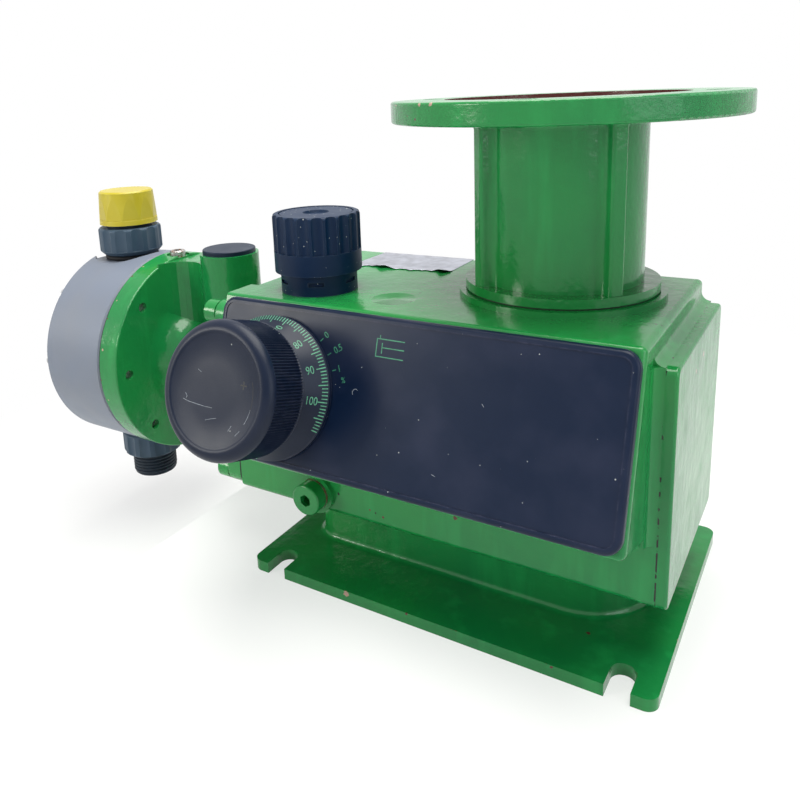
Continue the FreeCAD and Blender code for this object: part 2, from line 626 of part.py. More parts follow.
# End cover: a plate with the case's own outline, set on a shallow spigot.
cover = new_body("end_cover")
pad(cover, "plate", "YZ_Plane",
    [[(-s.case_front, case_low), (s.case_back, case_low), (s.case_back, case_top),
      (-s.case_front, case_top)]], s.case_right, s.cover_thick)
dress(cover, "Fillet", s.case_edge, lambda e: is_line(e, "x"))
cover_face = s.case_right + s.cover_thick
dress(cover, "Fillet", s.cover_edge,
      lambda e: abs(e.CenterOfMass.x - cover_face.value) < 0.001)
inset = s.wall + s.cover_play
pad(cover, "spigot", "YZ_Plane",
    [[(-s.case_front + inset, case_low + inset), (s.case_back - inset, case_low + inset),
      (s.case_back - inset, case_top - inset), (-s.case_front + inset, case_top - inset)],
     [(-s.case_front + inset * 2, case_low + inset * 2),
      (s.case_back - inset * 2, case_low + inset * 2),
      (s.case_back - inset * 2, case_top - inset * 2),
      (-s.case_front + inset * 2, case_top - inset * 2)]],
    s.case_right - s.cover_spigot, s.cover_spigot + s.cover_thick / 2)
node(cover, "end_cover")

# Black panel cover on the console, with its raised rim and the spindle's hole.
panel = new_body("panel_cover")
panel_loop = [(-s.panel_left, -s.panel_slope), (s.panel_right, -s.panel_slope),
              (s.panel_right, 0), (-s.panel_left, 0)]
pad(panel, "plate", "XY_Plane", [panel_loop], -s.panel_thick, s.panel_thick)
dress(panel, "Fillet", s.panel_corner, lambda e: is_line(e, "z"))
dress(panel, "Fillet", s.panel_edge, lambda e: abs(e.CenterOfMass.z) < 0.001)
rim = s.panel_rim
field_corner = s.panel_corner - rim
field_loop = []
for side_x, side_y, start in ((1, 0, 0), (-1, 0, 90), (-1, -1, 180), (1, -1, 270)):
    turn_x = s.panel_right - s.panel_corner if side_x > 0 else s.panel_corner - s.panel_left
    turn_y = s.panel_corner - s.panel_slope if side_y else 0 - s.panel_corner
    for step in range(7):
        turn = math.radians(start + 15 * step)
        field_loop.append((turn_x + field_corner * math.cos(turn),
                           turn_y + field_corner * math.sin(turn)))
pocket(panel, "field", "XY_Plane", [field_loop], -s.panel_rim_rise, s.panel_rim_rise * 2)
flange_radius_bush = s.spindle_radius + s.bush_wall + s.bush_flange
cylinder(panel, "spindle_hole", flange_radius_bush + s.contact_gap, s.panel_thick,
         (knob_x, -s.knob_slope, -s.panel_thick), cut=True)
place(panel, (0, -s.panel_front, roof_top), panel_turn())
node(panel, "panel_cover")

# Knob, dial and spindle: one group about the axis that stands square on the
# panel and meets the plunger's axis. Heights along it are from the panel's face.

bush = new_body("spindle_bush")
bush_low = -s.panel_thick - s.bush_length
revolve(bush, "turned", [[
    (s.spindle_radius + s.spindle_bore_play, bush_low),
    (s.spindle_radius + s.bush_wall, bush_low),
    (s.spindle_radius + s.bush_wall, -s.panel_thick),
    (flange_radius_bush, -s.panel_thick),
    (flange_radius_bush, -s.panel_thick + s.bush_flange),
    (s.spindle_radius + s.spindle_bore_play, -s.panel_thick + s.bush_flange)]])
place(bush, knob_at, panel_turn())
node(bush, "spindle_bush")

cam_axis_y = -s.cam_depth
cam_low_end = (knob_foot[0] - cam_axis_y) / cos_tilt - s.cam_thick / 2
spindle = new_body("stroke_spindle")
knob_bore_top = s.dial_gap + s.knob_bore_depth
cylinder(spindle, "stem", s.spindle_radius, knob_bore_top - cam_low_end, (0, 0, cam_low_end))
dress(spindle, "Chamfer", s.spindle_radius * 0.1,
      lambda e: is_circle(e, s.spindle_radius, knob_bore_top))
place(spindle, knob_at, panel_turn())
node(spindle, "stroke_spindle")


def spiral_point(turn, radius):
    """A point of the cam at an angle in degrees from +X."""
    return FreeCAD.Vector(radius * math.cos(math.radians(turn)),
                          radius * math.sin(math.radians(turn)), 0)


full_turn = 180.0 - s.cam_sweep.value * (1.0 - s.cam_rest.value)
cam_high = s.cam_low.value + s.stroke.value
spiral = [spiral_point(full_turn + s.cam_sweep.value * k / 12.0,
                       s.cam_low.value + s.stroke.value * k / 12.0) for k in range(13)]
land = s.cam_land.value
cam_curve = Part.BSplineCurve()
cam_curve.interpolate(spiral)
zero_turn = full_turn + s.cam_sweep.value
low_arc = Part.Arc(spiral_point(full_turn - land, s.cam_low.value),
                   spiral_point(full_turn - land / 2, s.cam_low.value),
                   spiral_point(full_turn, s.cam_low.value))
high_arc = Part.Arc(spiral_point(zero_turn, cam_high), spiral_point(zero_turn + land / 2, cam_high),
                    spiral_point(zero_turn + land, cam_high))
cam_edges = [cam_curve.toShape(), high_arc.toShape(),
             Part.makeLine(spiral_point(zero_turn + land, cam_high),
                           spiral_point(full_turn - land, s.cam_low.value)), low_arc.toShape()]
cam_face = Part.Face(Part.Wire(Part.__sortEdges__(cam_edges)))
cam_solid = cam_face.extrude(FreeCAD.Vector(0, 0, s.cam_thick.value))
cam_hole = Part.makeCylinder(s.spindle_radius.value, s.cam_thick.value)
cam_shape = cam_solid.cut(cam_hole)
cam_at = (knob_x, knob_foot[0] - cos_tilt * cam_low_end, knob_foot[1] + sin_tilt * cam_low_end)
solids_node("stroke_cam", cam_shape, cam_at, panel_turn())

dial = new_body("dial_disc")
dial_low = s.dial_gap
dial_top = s.dial_gap + s.dial_thick
revolve(dial, "turned", [[
    (s.spindle_radius + s.bush_wall, dial_low), (s.dial_radius, dial_low),
    (s.dial_radius, dial_top), (s.spindle_radius + s.bush_wall, dial_top)]])
dress(dial, "Chamfer", s.dial_thick / 4, lambda e: is_circle(e, s.dial_radius, dial_top))
place(dial, knob_at, panel_turn())
node(dial, "dial_disc")

knob = new_body("knob_turned")
knob_low = dial_top
skirt_top = knob_low + s.knob_skirt_rise
revolve(knob, "turned", [[
    (s.spindle_radius, knob_low), (s.knob_radius - s.knob_skirt, knob_low),
    (s.knob_radius - s.knob_skirt, skirt_top), (s.knob_radius, skirt_top + s.knob_skirt),
    (s.knob_radius, s.knob_rise), (0, s.knob_rise), (0, knob_bore_top),
    (s.spindle_radius, knob_bore_top)]])
dress(knob, "Fillet", s.knob_rim, lambda e: is_circle(e, s.knob_radius, s.knob_rise))
doc.recompute()
groove_count = int(s.knob_grooves.value)
knurl_points = []
for k in range(groove_count * 2):
    reach = s.knob_radius.value - (s.knob_groove.value if k % 2 else 0.1)
    turn = math.pi * k / groove_count
    knurl_points.append(FreeCAD.Vector(reach * math.cos(turn), reach * math.sin(turn), 0))
knurl_low = skirt_top + s.knob_skirt
knurl_face = Part.Face(Part.makePolygon(knurl_points + knurl_points[:1]))
knurl_face.translate(FreeCAD.Vector(0, 0, knurl_low.value))
knurl_rise = (s.knob_rise - s.knob_rim - knurl_low).value
between = Part.makeCylinder(s.knob_radius.value + 2, knurl_rise,
                            FreeCAD.Vector(0, 0, knurl_low.value))
grooves = between.cut(knurl_face.extrude(FreeCAD.Vector(0, 0, knurl_rise)))
solids_node("stroke_knob", knob.Shape.cut(grooves), knob_at, panel_turn())

# Motor adaptor: flange, neck tube with four ribs, and the ring foot on the pad.
adaptor = new_body("motor_adaptor")
foot_low = pad_top + s.gasket_thick
ring_top = foot_low + s.ring_thick
flange_low = s.flange_top - s.flange_thick
sill_top = foot_low + s.sill_rise
revolve(adaptor, "turned", [[
    (s.sill_bore, foot_low), (s.ring_radius, foot_low), (s.ring_radius, ring_top),
    (s.neck_radius, ring_top), (s.neck_radius, flange_low), (s.flange_radius, flange_low),
    (s.flange_radius, s.flange_top), (s.spigot_radius, s.flange_top),
    (s.spigot_radius, s.flange_top - s.spigot_depth),
    (s.neck_bore, s.flange_top - s.spigot_depth), (s.neck_bore, sill_top),
    (s.sill_bore, sill_top)]])
rib = pad(adaptor, "rib", "XY_Plane",
          [[(s.neck_bore + 1, s.rib_width / -2), (s.rib_radius, s.rib_width / -2),
            (s.rib_radius, s.rib_width / 2), (s.neck_bore + 1, s.rib_width / 2)]],
          ring_top, flange_low - ring_top)
around(adaptor, rib, 4)
dress(adaptor, "Fillet", s.rib_side,
      lambda e: is_line(e, "z") and abs(math.hypot(e.CenterOfMass.x, e.CenterOfMass.y)
                                        - s.neck_radius.value) < 0.5)
dress(adaptor, "Fillet", s.rib_width / 5,
      lambda e: is_line(e, "z")
      and math.hypot(e.CenterOfMass.x, e.CenterOfMass.y) > s.rib_radius.value - 0.1)
dress(adaptor, "Fillet", s.neck_root,
      lambda e: abs(e.CenterOfMass.z - flange_low.value) < 0.001
      and e.BoundBox.XMax < s.rib_radius.value + 1 and e.BoundBox.YMax < s.rib_radius.value + 1)
dress(adaptor, "Fillet", s.flange_edge,
      lambda e: is_circle(e, s.flange_radius, flange_low)
      or is_circle(e, s.flange_radius, s.flange_top))
bolt_hole = cylinder(adaptor, "bolt_hole", s.flange_bolt_radius, s.flange_thick,
                     (s.flange_bolt_circle / 2 * math.cos(math.radians(45)),
                      s.flange_bolt_circle / 2 * math.sin(math.radians(45)), flange_low), cut=True)
around(adaptor, bolt_hole, 4)
foot_hole = cylinder(adaptor, "foot_hole", s.adaptor_screw_radius + s.head_bolt_play,
                     s.sill_rise, (s.adaptor_screw_circle / 2, 0, foot_low), cut=True)
around(adaptor, foot_hole, 4)
adaptor_turn = FreeCAD.Rotation(FreeCAD.Vector(0, 0, 1), s.motor_turn.value + 45)
place(adaptor, (s.motor_x, s.motor_y, 0), adaptor_turn)
node(adaptor, "motor_adaptor")

gasket = new_body("adaptor_gasket")
revolve(gasket, "cut", [[
    (s.sill_bore, pad_top), (s.ring_radius - 1, pad_top), (s.ring_radius - 1, foot_low),
    (s.sill_bore, foot_low)]])
gasket_hole = cylinder(gasket, "hole", s.adaptor_screw_radius + s.head_bolt_play,
                       s.gasket_thick, (s.adaptor_screw_circle / 2, 0, pad_top), cut=True)
around(gasket, gasket_hole, 4)
place(gasket, (s.motor_x, s.motor_y, 0), adaptor_turn)
node(gasket, "adaptor_gasket")

adaptor_screws = [
    screw(f"adaptor_screw_{k}", s.adaptor_screw_radius, s.sill_rise * 2,
          s.adaptor_screw_head - s.contact_gap, s.adaptor_screw_head_rise,
          (hole_x, hole_y, sill_top), "z", s.adaptor_screw_head)
    for k, (hole_x, hole_y) in enumerate(adaptor_points)]
group("adaptor_screws", adaptor_screws)

# Filler neck and its fluted vent cap.
filler_at = (-s.filler_x, -s.filler_y, 0)
neck = new_body("filler_neck")
collar_top = roof_top + s.filler_collar_rise
revolve(neck, "turned", [[
    (s.filler_bore, roof_top - s.roof_rise), (s.filler_thread, roof_top - s.roof_rise),
    (s.filler_thread, roof_top), (s.filler_collar, roof_top), (s.filler_collar, collar_top),
    (s.filler_bore, collar_top)]])
notch = block(neck, "notch",
              (s.filler_slot_depth * 2, s.filler_slot_width, s.filler_collar_rise * 0.2),
              (s.filler_collar - s.filler_slot_depth, s.filler_slot_width / -2,
               roof_top + s.filler_collar_rise * 0.5), cut=True)
around(neck, notch, s.filler_slots)
place(neck, filler_at)
node(neck, "filler_neck")

cap = new_body("filler_cap")
cap_low = collar_top + s.cap_gap
cap_top = cap_low + s.cap_rise
stem_low = collar_top - s.cap_stem_depth
revolve(cap, "turned", [[
    (0, stem_low), (s.cap_stem, stem_low), (s.cap_stem, cap_low), (s.cap_radius, cap_low),
    (s.cap_radius, cap_top), (s.cap_lid + s.cap_seam, cap_top),
    (s.cap_lid + s.cap_seam, cap_top - s.cap_seam), (s.cap_lid, cap_top - s.cap_seam),
    (s.cap_lid, cap_top - s.cap_seam / 4), (s.cap_dimple, cap_top - s.cap_seam / 4),
    (s.cap_dimple - s.cap_seam, cap_top - s.cap_dimple_depth),
    (0, cap_top - s.cap_dimple_depth)]])
dress(cap, "Fillet", s.cap_edge, lambda e: is_circle(e, s.cap_radius, cap_top))
flute = cylinder(cap, "flute", s.cap_flute_radius, s.cap_rise,
                 (s.cap_radius + s.cap_flute_radius - s.cap_flute_depth, 0,
                  cap_low + s.cap_skirt), cut=True)
around(cap, flute, s.cap_flutes)
place(cap, filler_at)
node(cap, "filler_cap")

# Oil drain plug with its sealing washer.
drain_face = -s.case_front - s.drain_boss_rise
washer = ring("drain_washer", s.drain_collar, s.drain_thread + 0.1, s.drain_washer,
              (-s.drain_x, drain_face, drain_z), "-y")
node(washer, "drain_washer")
drain = new_body("drain_plug")
revolve(drain, "turned", [[
    (0, -s.drain_reach), (s.drain_thread, -s.drain_reach), (s.drain_thread, 0),
    (s.drain_collar, 0), (s.drain_collar, s.drain_head), (0, s.drain_head)]])
dress(drain, "Fillet", s.drain_head / 6, lambda e: is_circle(e, s.drain_collar, s.drain_head))


def hexagon(key):
    """Corners of a regular hexagon with that distance across its flats."""
    reach = key / 2 / math.cos(math.radians(30))
    return [(reach * math.cos(math.radians(60 * k + 30)),
             reach * math.sin(math.radians(60 * k + 30))) for k in range(6)]


pocket(drain, "socket", "XY_Plane", [hexagon(s.hex_key)], s.drain_head - s.hex_depth,
       s.hex_depth * 2)
place(drain, (-s.drain_x, drain_face - s.drain_washer, drain_z), TURNS["-y"])
node(drain, "drain_plug")

# Pump carrier: square flange on the case, conical neck, upright tube boss with
# a plug, and the round flange that clamps the diaphragm.
flange_face = -s.case_left - s.carrier_gasket
carrier_far = flange_face - s.carrier_plate
round_start = -s.pump_flange_start
round_far = round_start - s.pump_flange_thick
carrier = new_body("pump_carrier")
pad(carrier, "plate", "YZ_Plane",
    [[(-s.case_front, case_low), (s.case_back, case_low), (s.case_back, case_top),
      (-s.case_front, case_top)]], carrier_far, s.carrier_plate)
dress(carrier, "Fillet", s.carrier_corner, lambda e: is_line(e, "x"))
dress(carrier, "Fillet", s.cover_edge,
      lambda e: abs(e.CenterOfMass.x - carrier_far.value) < 0.001)
cone(carrier, "neck", s.neck_large, s.neck_small, s.neck_end + carrier_far, (carrier_far, 0, pump_z),
     "-x")
cylinder(carrier, "neck_end", s.neck_small, s.pump_flange_start - s.neck_end + 1,
         (round_start - 1, 0, pump_z), "x")
cylinder(carrier, "round_flange", s.pump_flange_radius, s.pump_flange_thick,
         (round_start, 0, pump_z), "-x")
dress(carrier, "Fillet", s.pump_flange_edge,
      lambda e: e.Curve.TypeId == "Part::GeomCircle"
      and abs(e.Curve.Radius - s.pump_flange_radius.value) < 0.001
      and abs(e.CenterOfMass.x - round_start.value) < 0.001)
dress(carrier, "Fillet", s.web_root,
      lambda e: e.Curve.TypeId == "Part::GeomCircle"
      and abs(e.Curve.Radius - s.neck_small.value) < 0.001
      and abs(e.CenterOfMass.x - round_start.value) < 0.001)
tube_at = -s.tube_x
web_loop = []
for side, steps in ((1, range(10)), (-1, range(9, -1, -1))):
    for step in steps:
        turn = math.radians(180 + 15 * step)
        web_loop.append((round_start + s.web_round * (1 + math.cos(turn)),
                         (s.web_half + s.web_round * (1 + math.sin(turn))) * side))
pad(carrier, "web", "XY_Plane", [web_loop + [(web_loop[-1][0] - 1, web_loop[-1][1]),
                                             (web_loop[-1][0] - 1, web_loop[0][1])]],
    pump_z, s.web_rise)
cylinder(carrier, "tube", s.tube_radius, s.tube_top - pump_z, (tube_at, 0, pump_z))
cylinder(carrier, "chamber", s.chamber_radius, s.chamber_depth, (round_far, 0, pump_z), "x",
         cut=True)
cylinder(carrier, "tube_bore", s.tube_bore, s.tube_top - s.tube_floor, (tube_at, 0, s.tube_floor),
         cut=True)
cylinder(carrier, "guide_bore", s.guide_bore, s.pump_flange_start,
         (round_far + s.chamber_depth / 2, 0, pump_z), "x", cut=True)
spring_room = s.spring_seat_radius + 1
cylinder(carrier, "spring_room", spring_room, s.carrier_plate / 2, (flange_face, 0, pump_z),
         "-x", cut=True)
for k, (hole_y, hole_z) in enumerate(carrier_corners):
    cylinder(carrier, f"screw_hole_{k}", s.screw_radius + s.screw_room, s.carrier_plate,
             (flange_face, hole_y, hole_z), "-x", cut=True)
bolt_ring = s.head_bolt_circle / 2
bolt_angles = (0, 45, 135, 180, 225, 315)
bolt_points = [(bolt_ring * math.cos(math.radians(a)), pump_z + bolt_ring * math.sin(math.radians(a)))
               for a in bolt_angles]
for k, (hole_y, hole_z) in enumerate(bolt_points):
    cylinder(carrier, f"bolt_hole_{k}", s.head_bolt_radius, s.pump_flange_thick,
             (round_start, hole_y, hole_z), "-x", cut=True)
lug_x = round_start - s.lug_inset
lug_face = pump_z + s.pump_flange_radius - s.lug_flat_drop
cylinder(carrier, "lug_flat", s.lug_flat, s.lug_flat_drop * 3, (lug_x, 0, lug_face),
         cut=True)
cylinder(carrier, "lug_hole", s.lug_shank, s.lug_depth, (lug_x, 0, lug_face - s.lug_depth),
         cut=True)
node(carrier, "pump_carrier")

seal_sheet = new_body("carrier_gasket")
pad(seal_sheet, "sheet", "YZ_Plane",
    [[(-s.case_front, case_low), (s.case_back, case_low), (s.case_back, case_top),
      (-s.case_front, case_top)]], flange_face, s.carrier_gasket)
dress(seal_sheet, "Fillet", s.carrier_corner, lambda e: is_line(e, "x"))
cylinder(seal_sheet, "middle", spigot_radius, s.carrier_gasket, (flange_face, 0, pump_z), "x",
         cut=True)
for k, (hole_y, hole_z) in enumerate(carrier_corners):
    cylinder(seal_sheet, f"hole_{k}", s.screw_radius + s.screw_room, s.carrier_gasket,
             (flange_face, hole_y, hole_z), "x", cut=True)
node(seal_sheet, "carrier_gasket")

carrier_screws = [
    screw(f"carrier_screw_{k}", s.screw_radius, s.carrier_plate + s.carrier_gasket + s.wall,
          s.screw_head, s.screw_head_rise, (carrier_far, hole_y, hole_z), "-x", s.screw_head)
    for k, (hole_y, hole_z) in enumerate(carrier_corners)]
group("carrier_screws", carrier_screws)

plug = new_body("tube_plug")
revolve(plug, "moulded", [[
    (0, s.tube_top - s.plug_stem), (s.tube_bore - s.plug_play, s.tube_top - s.plug_stem),
    (s.tube_bore - s.plug_play, s.tube_top), (s.plug_head, s.tube_top),
    (s.plug_head, s.tube_top + s.plug_head_rise), (0, s.tube_top + s.plug_head_rise)]])
dress(plug, "Fillet", s.plug_head_rise / 4,
      lambda e: is_circle(e, s.plug_head, s.tube_top + s.plug_head_rise))
place(plug, (tube_at, 0, 0))
node(plug, "tube_plug")

node(screw("flange_screw", s.lug_shank, s.lug_depth, s.lug_radius, s.lug_head_rise,
           (lug_x, 0, lug_face), "z", s.lug_radius), "flange_screw")

# Plunger guides and seal in the carrier's bore.
guide_inner = s.rod_radius + s.rod_play
guide_rear = ring("guide_rear", s.guide_bore, guide_inner, s.guide_bush_length,
                  (carrier_far + s.carrier_plate / 2, 0, pump_z), "-x")
guide_front = ring("guide_front", s.guide_bore, guide_inner, s.guide_bush_length,
                   (round_far + s.chamber_depth + s.rod_seal_width, 0, pump_z), "x")
group("plunger_guides", [guide_rear, guide_front])
node(ring("plunger_seal", s.guide_bore, guide_inner, s.rod_seal_width,
          (round_far + s.chamber_depth, 0, pump_z), "x"), "plunger_seal")

# Diaphragm: the clamped web, and the stiff core on the plunger that moves.
head_face = round_far - s.diaphragm_thick
web = ring("diaphragm", s.diaphragm_radius, s.core_radius + s.core_gap, s.diaphragm_thick,
           (round_far, 0, pump_z), "-x")
for k, (hole_y, hole_z) in enumerate(bolt_points):
    hole = cylinder(web, f"hole_{k}", s.head_bolt_radius + s.head_bolt_play, s.diaphragm_thick,
                    (hole_z - pump_z, hole_y, 0), cut=True)
node(web, "diaphragm")
core = new_body("diaphragm_core")
revolve(core, "turned", [[
    (0, 0), (s.core_radius, 0), (s.core_radius, s.diaphragm_thick),
    (s.rod_radius + 2, s.diaphragm_thick + s.core_rear / 2),
    (s.rod_radius + 2, s.diaphragm_thick + s.core_rear),
    (0, s.diaphragm_thick + s.core_rear)]])
place(core, (head_face, 0, pump_z), TURNS["x"])
node(core, "diaphragm_core")

# Dosing head of plastic, its six bolts, and the valves above and below.
head_far = head_face - s.head_length
valve_x = -s.valve_x
head_top = pump_z + s.head_radius - s.flat_drop
head_bottom = pump_z - s.head_radius + s.flat_drop
head = new_body("dosing_head")
revolve(head, "turned", [[
    (0, s.head_chamber_depth), (s.head_chamber, s.head_chamber_depth), (s.head_chamber, 0),
    (s.head_radius - s.head_edge / 2, 0), (s.head_radius, s.head_edge / 2),
    (s.head_radius, s.head_length), (0, s.head_length)]])
dress(head, "Chamfer", s.head_edge, lambda e: is_circle(e, s.head_radius, s.head_length))
valve_depth = head_face - valve_x
cylinder(head, "flow_bore", s.head_port, valve_depth + s.head_port, (0, 0, 0), cut=True)
upright = s.head_radius - s.flat_drop
for tag, sign, axis in (("top", 1, "x"), ("low", -1, "-x")):
    start = (upright * sign, 0, valve_depth)
    cylinder(head, tag + "_flat", s.flat_radius, s.flat_drop * 2, start, axis, cut=True)
    inner = ((upright - s.valve_seat_depth) * sign, 0, valve_depth)
    cylinder(head, tag + "_socket", s.valve_radius, s.valve_seat_depth, inner, axis, cut=True)
    cylinder(head, tag + "_way", s.cage_bore, upright - s.valve_seat_depth,
             (0, 0, valve_depth), axis, cut=True)
for k, (hole_y, hole_z) in enumerate(bolt_points):
    along_x = hole_z - pump_z
    cylinder(head, f"bolt_hole_{k}", s.head_bolt_radius + s.head_bolt_play, s.head_length,
             (along_x, hole_y, 0), cut=True)
    cylinder(head, f"bolt_face_{k}", s.bolt_counterbore, s.bolt_counterbore_depth * 2,
             (along_x, hole_y, s.head_length - s.bolt_counterbore_depth), cut=True)
place(head, (head_face, 0, pump_z), TURNS["-x"])
node(head, "dosing_head")

washers, bolts = [], []
bolt_face = head_far + s.bolt_counterbore_depth
for k, (hole_y, hole_z) in enumerate(bolt_points):
    washers.append(ring(f"head_washer_{k}", s.bolt_washer_radius,
                        s.head_bolt_radius + s.head_bolt_play, s.bolt_washer_thick,
                        (bolt_face, hole_y, hole_z), "-x"))
    bolt_length = (round_start - s.head_bolt_recess) - (bolt_face - s.bolt_washer_thick)
    bolts.append(screw(f"head_bolt_{k}", s.head_bolt_radius, bolt_length, s.bolt_head_radius,
                       s.bolt_head_rise, (bolt_face - s.bolt_washer_thick, hole_y, hole_z),
                       "-x", s.bolt_head_radius))
group("head_washers", washers)
group("head_bolts", bolts)


ball_rise = (s.ball_radius.value ** 2 - s.seat_bore.value ** 2) ** 0.5
ball_room = s.ball_radius * 2 + s.ball_lift * 2
seat_start = -s.valve_seat_depth


def valve_body(name, low, reach, axis, at_z):
    """A threaded valve tube with its ball chamber; its Z runs out of the head."""
    body = new_body(name)
    inner_top = low + ball_room + (0 if low.value > seat_start.value else s.seat_thick)
    revolve(body, "turned", [[
        (s.cage_bore, low), (s.valve_radius, low), (s.valve_radius, reach),
        (s.valve_bore, reach), (s.valve_bore, inner_top), (s.cage_bore, inner_top)]])
    dress(body, "Chamfer", s.oring_wire / 2, lambda e: is_circle(e, s.valve_radius, reach))
    place(body, (valve_x, 0, at_z), TURNS[axis])
    return node(body, name)


# Flow goes upwards through both valves: the discharge ball rests on a seat
# under its tube, the suction ball on one inside its tube.
nut_low = s.nut_standoff
discharge_reach = nut_low + s.nut_rise + s.discharge_reach
suction_reach = head_bottom + s.suction_reach
valve_body("discharge_valve", seat_start + s.seat_thick, discharge_reach, "z", head_top)
valve_body("suction_valve", seat_start, suction_reach, "-z", head_bottom)
discharge_face = head_top + seat_start + s.seat_thick
suction_face = head_bottom - seat_start - ball_room
node(ring("discharge_seat", s.valve_radius, s.seat_bore, s.seat_thick,
          (valve_x, 0, discharge_face - s.seat_thick)), "discharge_seat")
node(ring("suction_seat", s.cage_bore, s.seat_bore, s.seat_thick,
          (valve_x, 0, suction_face - s.seat_thick)), "suction_seat")

for tag, axis, at_z, sign, seat_face in (
        ("discharge", "z", head_top, 1, discharge_face),
        ("suction", "-z", head_bottom, -1, suction_face)):
    ball = doc.addObject("Part::Sphere", tag + "_ball_sphere")
    bind(ball, "Radius", s.ball_radius)
    place(ball, (valve_x, 0, seat_face + ball_rise + s.rod_play))
    doc.recompute()
    node(ball, tag + "_ball")
    seal = doc.addObject("Part::Torus", tag + "_oring_ring")
    bind(seal, "Radius1", s.valve_radius + s.oring_wire + s.nut_gap / 2)
    bind(seal, "Radius2", s.oring_wire)
    place(seal, (valve_x, 0, at_z + s.oring_wire * sign))
    doc.recompute()
    node(seal, tag + "_oring")
    nut = new_body(tag + "_nut")
    revolve(nut, "turned", [[
        (s.valve_radius + s.nut_gap, nut_low), (s.nut_radius - s.nut_foot / 2, nut_low),
        (s.nut_radius, nut_low + s.nut_foot / 2), (s.nut_radius, nut_low + s.nut_rise),
        (s.valve_radius + s.nut_gap, nut_low + s.nut_rise)]])
    dress(nut, "Fillet", s.nut_edge, lambda e: is_circle(e, s.nut_radius, nut_low + s.nut_rise))
    notch = cylinder(nut, "rib_gap", s.nut_rib_cut, s.nut_rise,
                     (s.nut_radius + s.nut_rib_cut - s.nut_rib_depth, 0,
                      nut_low + s.nut_foot * 0.6), cut=True)
    around(nut, notch, s.nut_ribs)
    place(nut, (valve_x, 0, at_z), TURNS[axis])
    node(nut, tag + "_nut")

transport = new_body("transport_cap")
cap_foot = nut_low + s.nut_rise + s.transport_gap + s.nut_edge
inner_cap = s.valve_radius + s.nut_gap
revolve(transport, "moulded", [[
    (inner_cap, cap_foot), (s.transport_base, cap_foot),
    (s.transport_top, cap_foot + s.transport_rise),
    (0, cap_foot + s.transport_rise),
    (0, cap_foot + s.transport_rise - s.transport_wall),
    (inner_cap, cap_foot + s.transport_rise - s.transport_wall)]])
dress(transport, "Chamfer", s.nut_edge / 2,
      lambda e: is_circle(e, s.transport_top, cap_foot + s.transport_rise))
facet = block(transport, "facet",
              (s.transport_base, s.transport_base, s.transport_rise * 2),
              (s.transport_base - 1.1, s.transport_base / -2, cap_foot + 3), cut=True)
around(transport, facet, 10)
place(transport, (valve_x, 0, head_top))
node(transport, "transport_cap")

# Drive: coupling sleeve for the motor shaft, worm, and its two bearings.
worm_at = (s.motor_x, s.motor_y, 0)
coupling_low = s.coupling_top - s.coupling_depth - s.coupling_radius
coupling = new_body("drive_coupling")
revolve(coupling, "turned", [[
    (s.worm_bore_shaft, coupling_low),
    (s.coupling_radius, coupling_low), (s.coupling_radius, s.coupling_top),
    (s.coupling_bore, s.coupling_top), (s.coupling_bore, s.coupling_top - s.coupling_depth),
    (s.worm_bore_shaft, s.coupling_top - s.coupling_depth)]])
key_at = s.coupling_bore - 1
block(coupling, "keyway", (s.key_depth + 1, s.key_width, s.coupling_depth),
      (key_at, s.key_width / -2, s.coupling_top - s.coupling_depth), cut=True)
place(coupling, worm_at)
node(coupling, "drive_coupling")

lead = math.pi * s.module
worm_outer = s.worm_pitch_radius + s.module
worm_root = s.worm_pitch_radius - s.module * 1.2
half_base = lead / 4 - s.tooth_play / 2 + s.module * 1.2 * math.tan(math.radians(20))
half_tip = lead / 4 - s.tooth_play / 2 - s.module * math.tan(math.radians(20))
thread_start = pump_z - lead * s.worm_turns / 2
worm_low = thread_start - half_base
worm_length = lead * s.worm_turns + half_base * 2
worm = new_body("worm_shaft")
revolve(worm, "turned", [[
    (0, s.worm_foot), (s.worm_bore_shaft, s.worm_foot), (s.worm_bore_shaft, worm_low),
    (worm_root, worm_low), (worm_root, worm_low + worm_length),
    (s.worm_bore_shaft, worm_low + worm_length),
    (s.worm_bore_shaft, s.coupling_top - s.coupling_depth),
    (0, s.coupling_top - s.coupling_depth)]])
thread = part_of(worm, "AdditiveHelix", "thread")
profile = sketch(worm, "tooth", "XZ_Plane", [[
    (worm_root - 0.4, thread_start - half_base), (worm_outer, thread_start - half_tip),
    (worm_outer, thread_start + half_tip), (worm_root - 0.4, thread_start + half_base)]])
thread.Profile = profile
thread.ReferenceAxis = (profile, ["V_Axis"])
thread.Mode = 0
bind(thread, "Pitch", lead)
bind(thread, "Height", lead * s.worm_turns)
finish(worm, thread)
place(worm, worm_at)
node(worm, "worm_shaft")


def bearing(name, at, axis):
    """A sealed bearing: the outer ring with its shields, and the inner ring."""
    race = s.bearing_ring
    outer = ring(name + "_outer", s.bearing_outer, s.shaft_radius + race + s.rod_play,
                 s.bearing_width, at, axis)
    inner = ring(name + "_inner", s.shaft_radius + race, s.shaft_radius, s.bearing_width, at, axis)
    return outer, inner


foot_outer, foot_inner = bearing("worm_foot_bearing", (s.motor_x, s.motor_y, s.worm_foot), "z")
head_outer, head_inner = bearing(
    "worm_head_bearing", (s.motor_x, s.motor_y, upper_low - s.bearing_width), "z")
front_outer, front_inner = bearing("wheel_front_bearing", (wheel_x, inner_front, pump_z), "y")
back_outer, back_inner = bearing("wheel_back_bearing", (wheel_x, inner_back, pump_z), "-y")
group("bearing_outer_rings", [foot_outer, head_outer, front_outer, back_outer])
group("worm_inner_rings", [foot_inner, head_inner])
group("wheel_inner_rings", [front_inner, back_inner])
node(ring("worm_seal", seal_outer, s.worm_bore_shaft + s.rod_play, s.seal_width,
          (s.motor_x, s.motor_y, upper_low), "z"), "worm_seal")

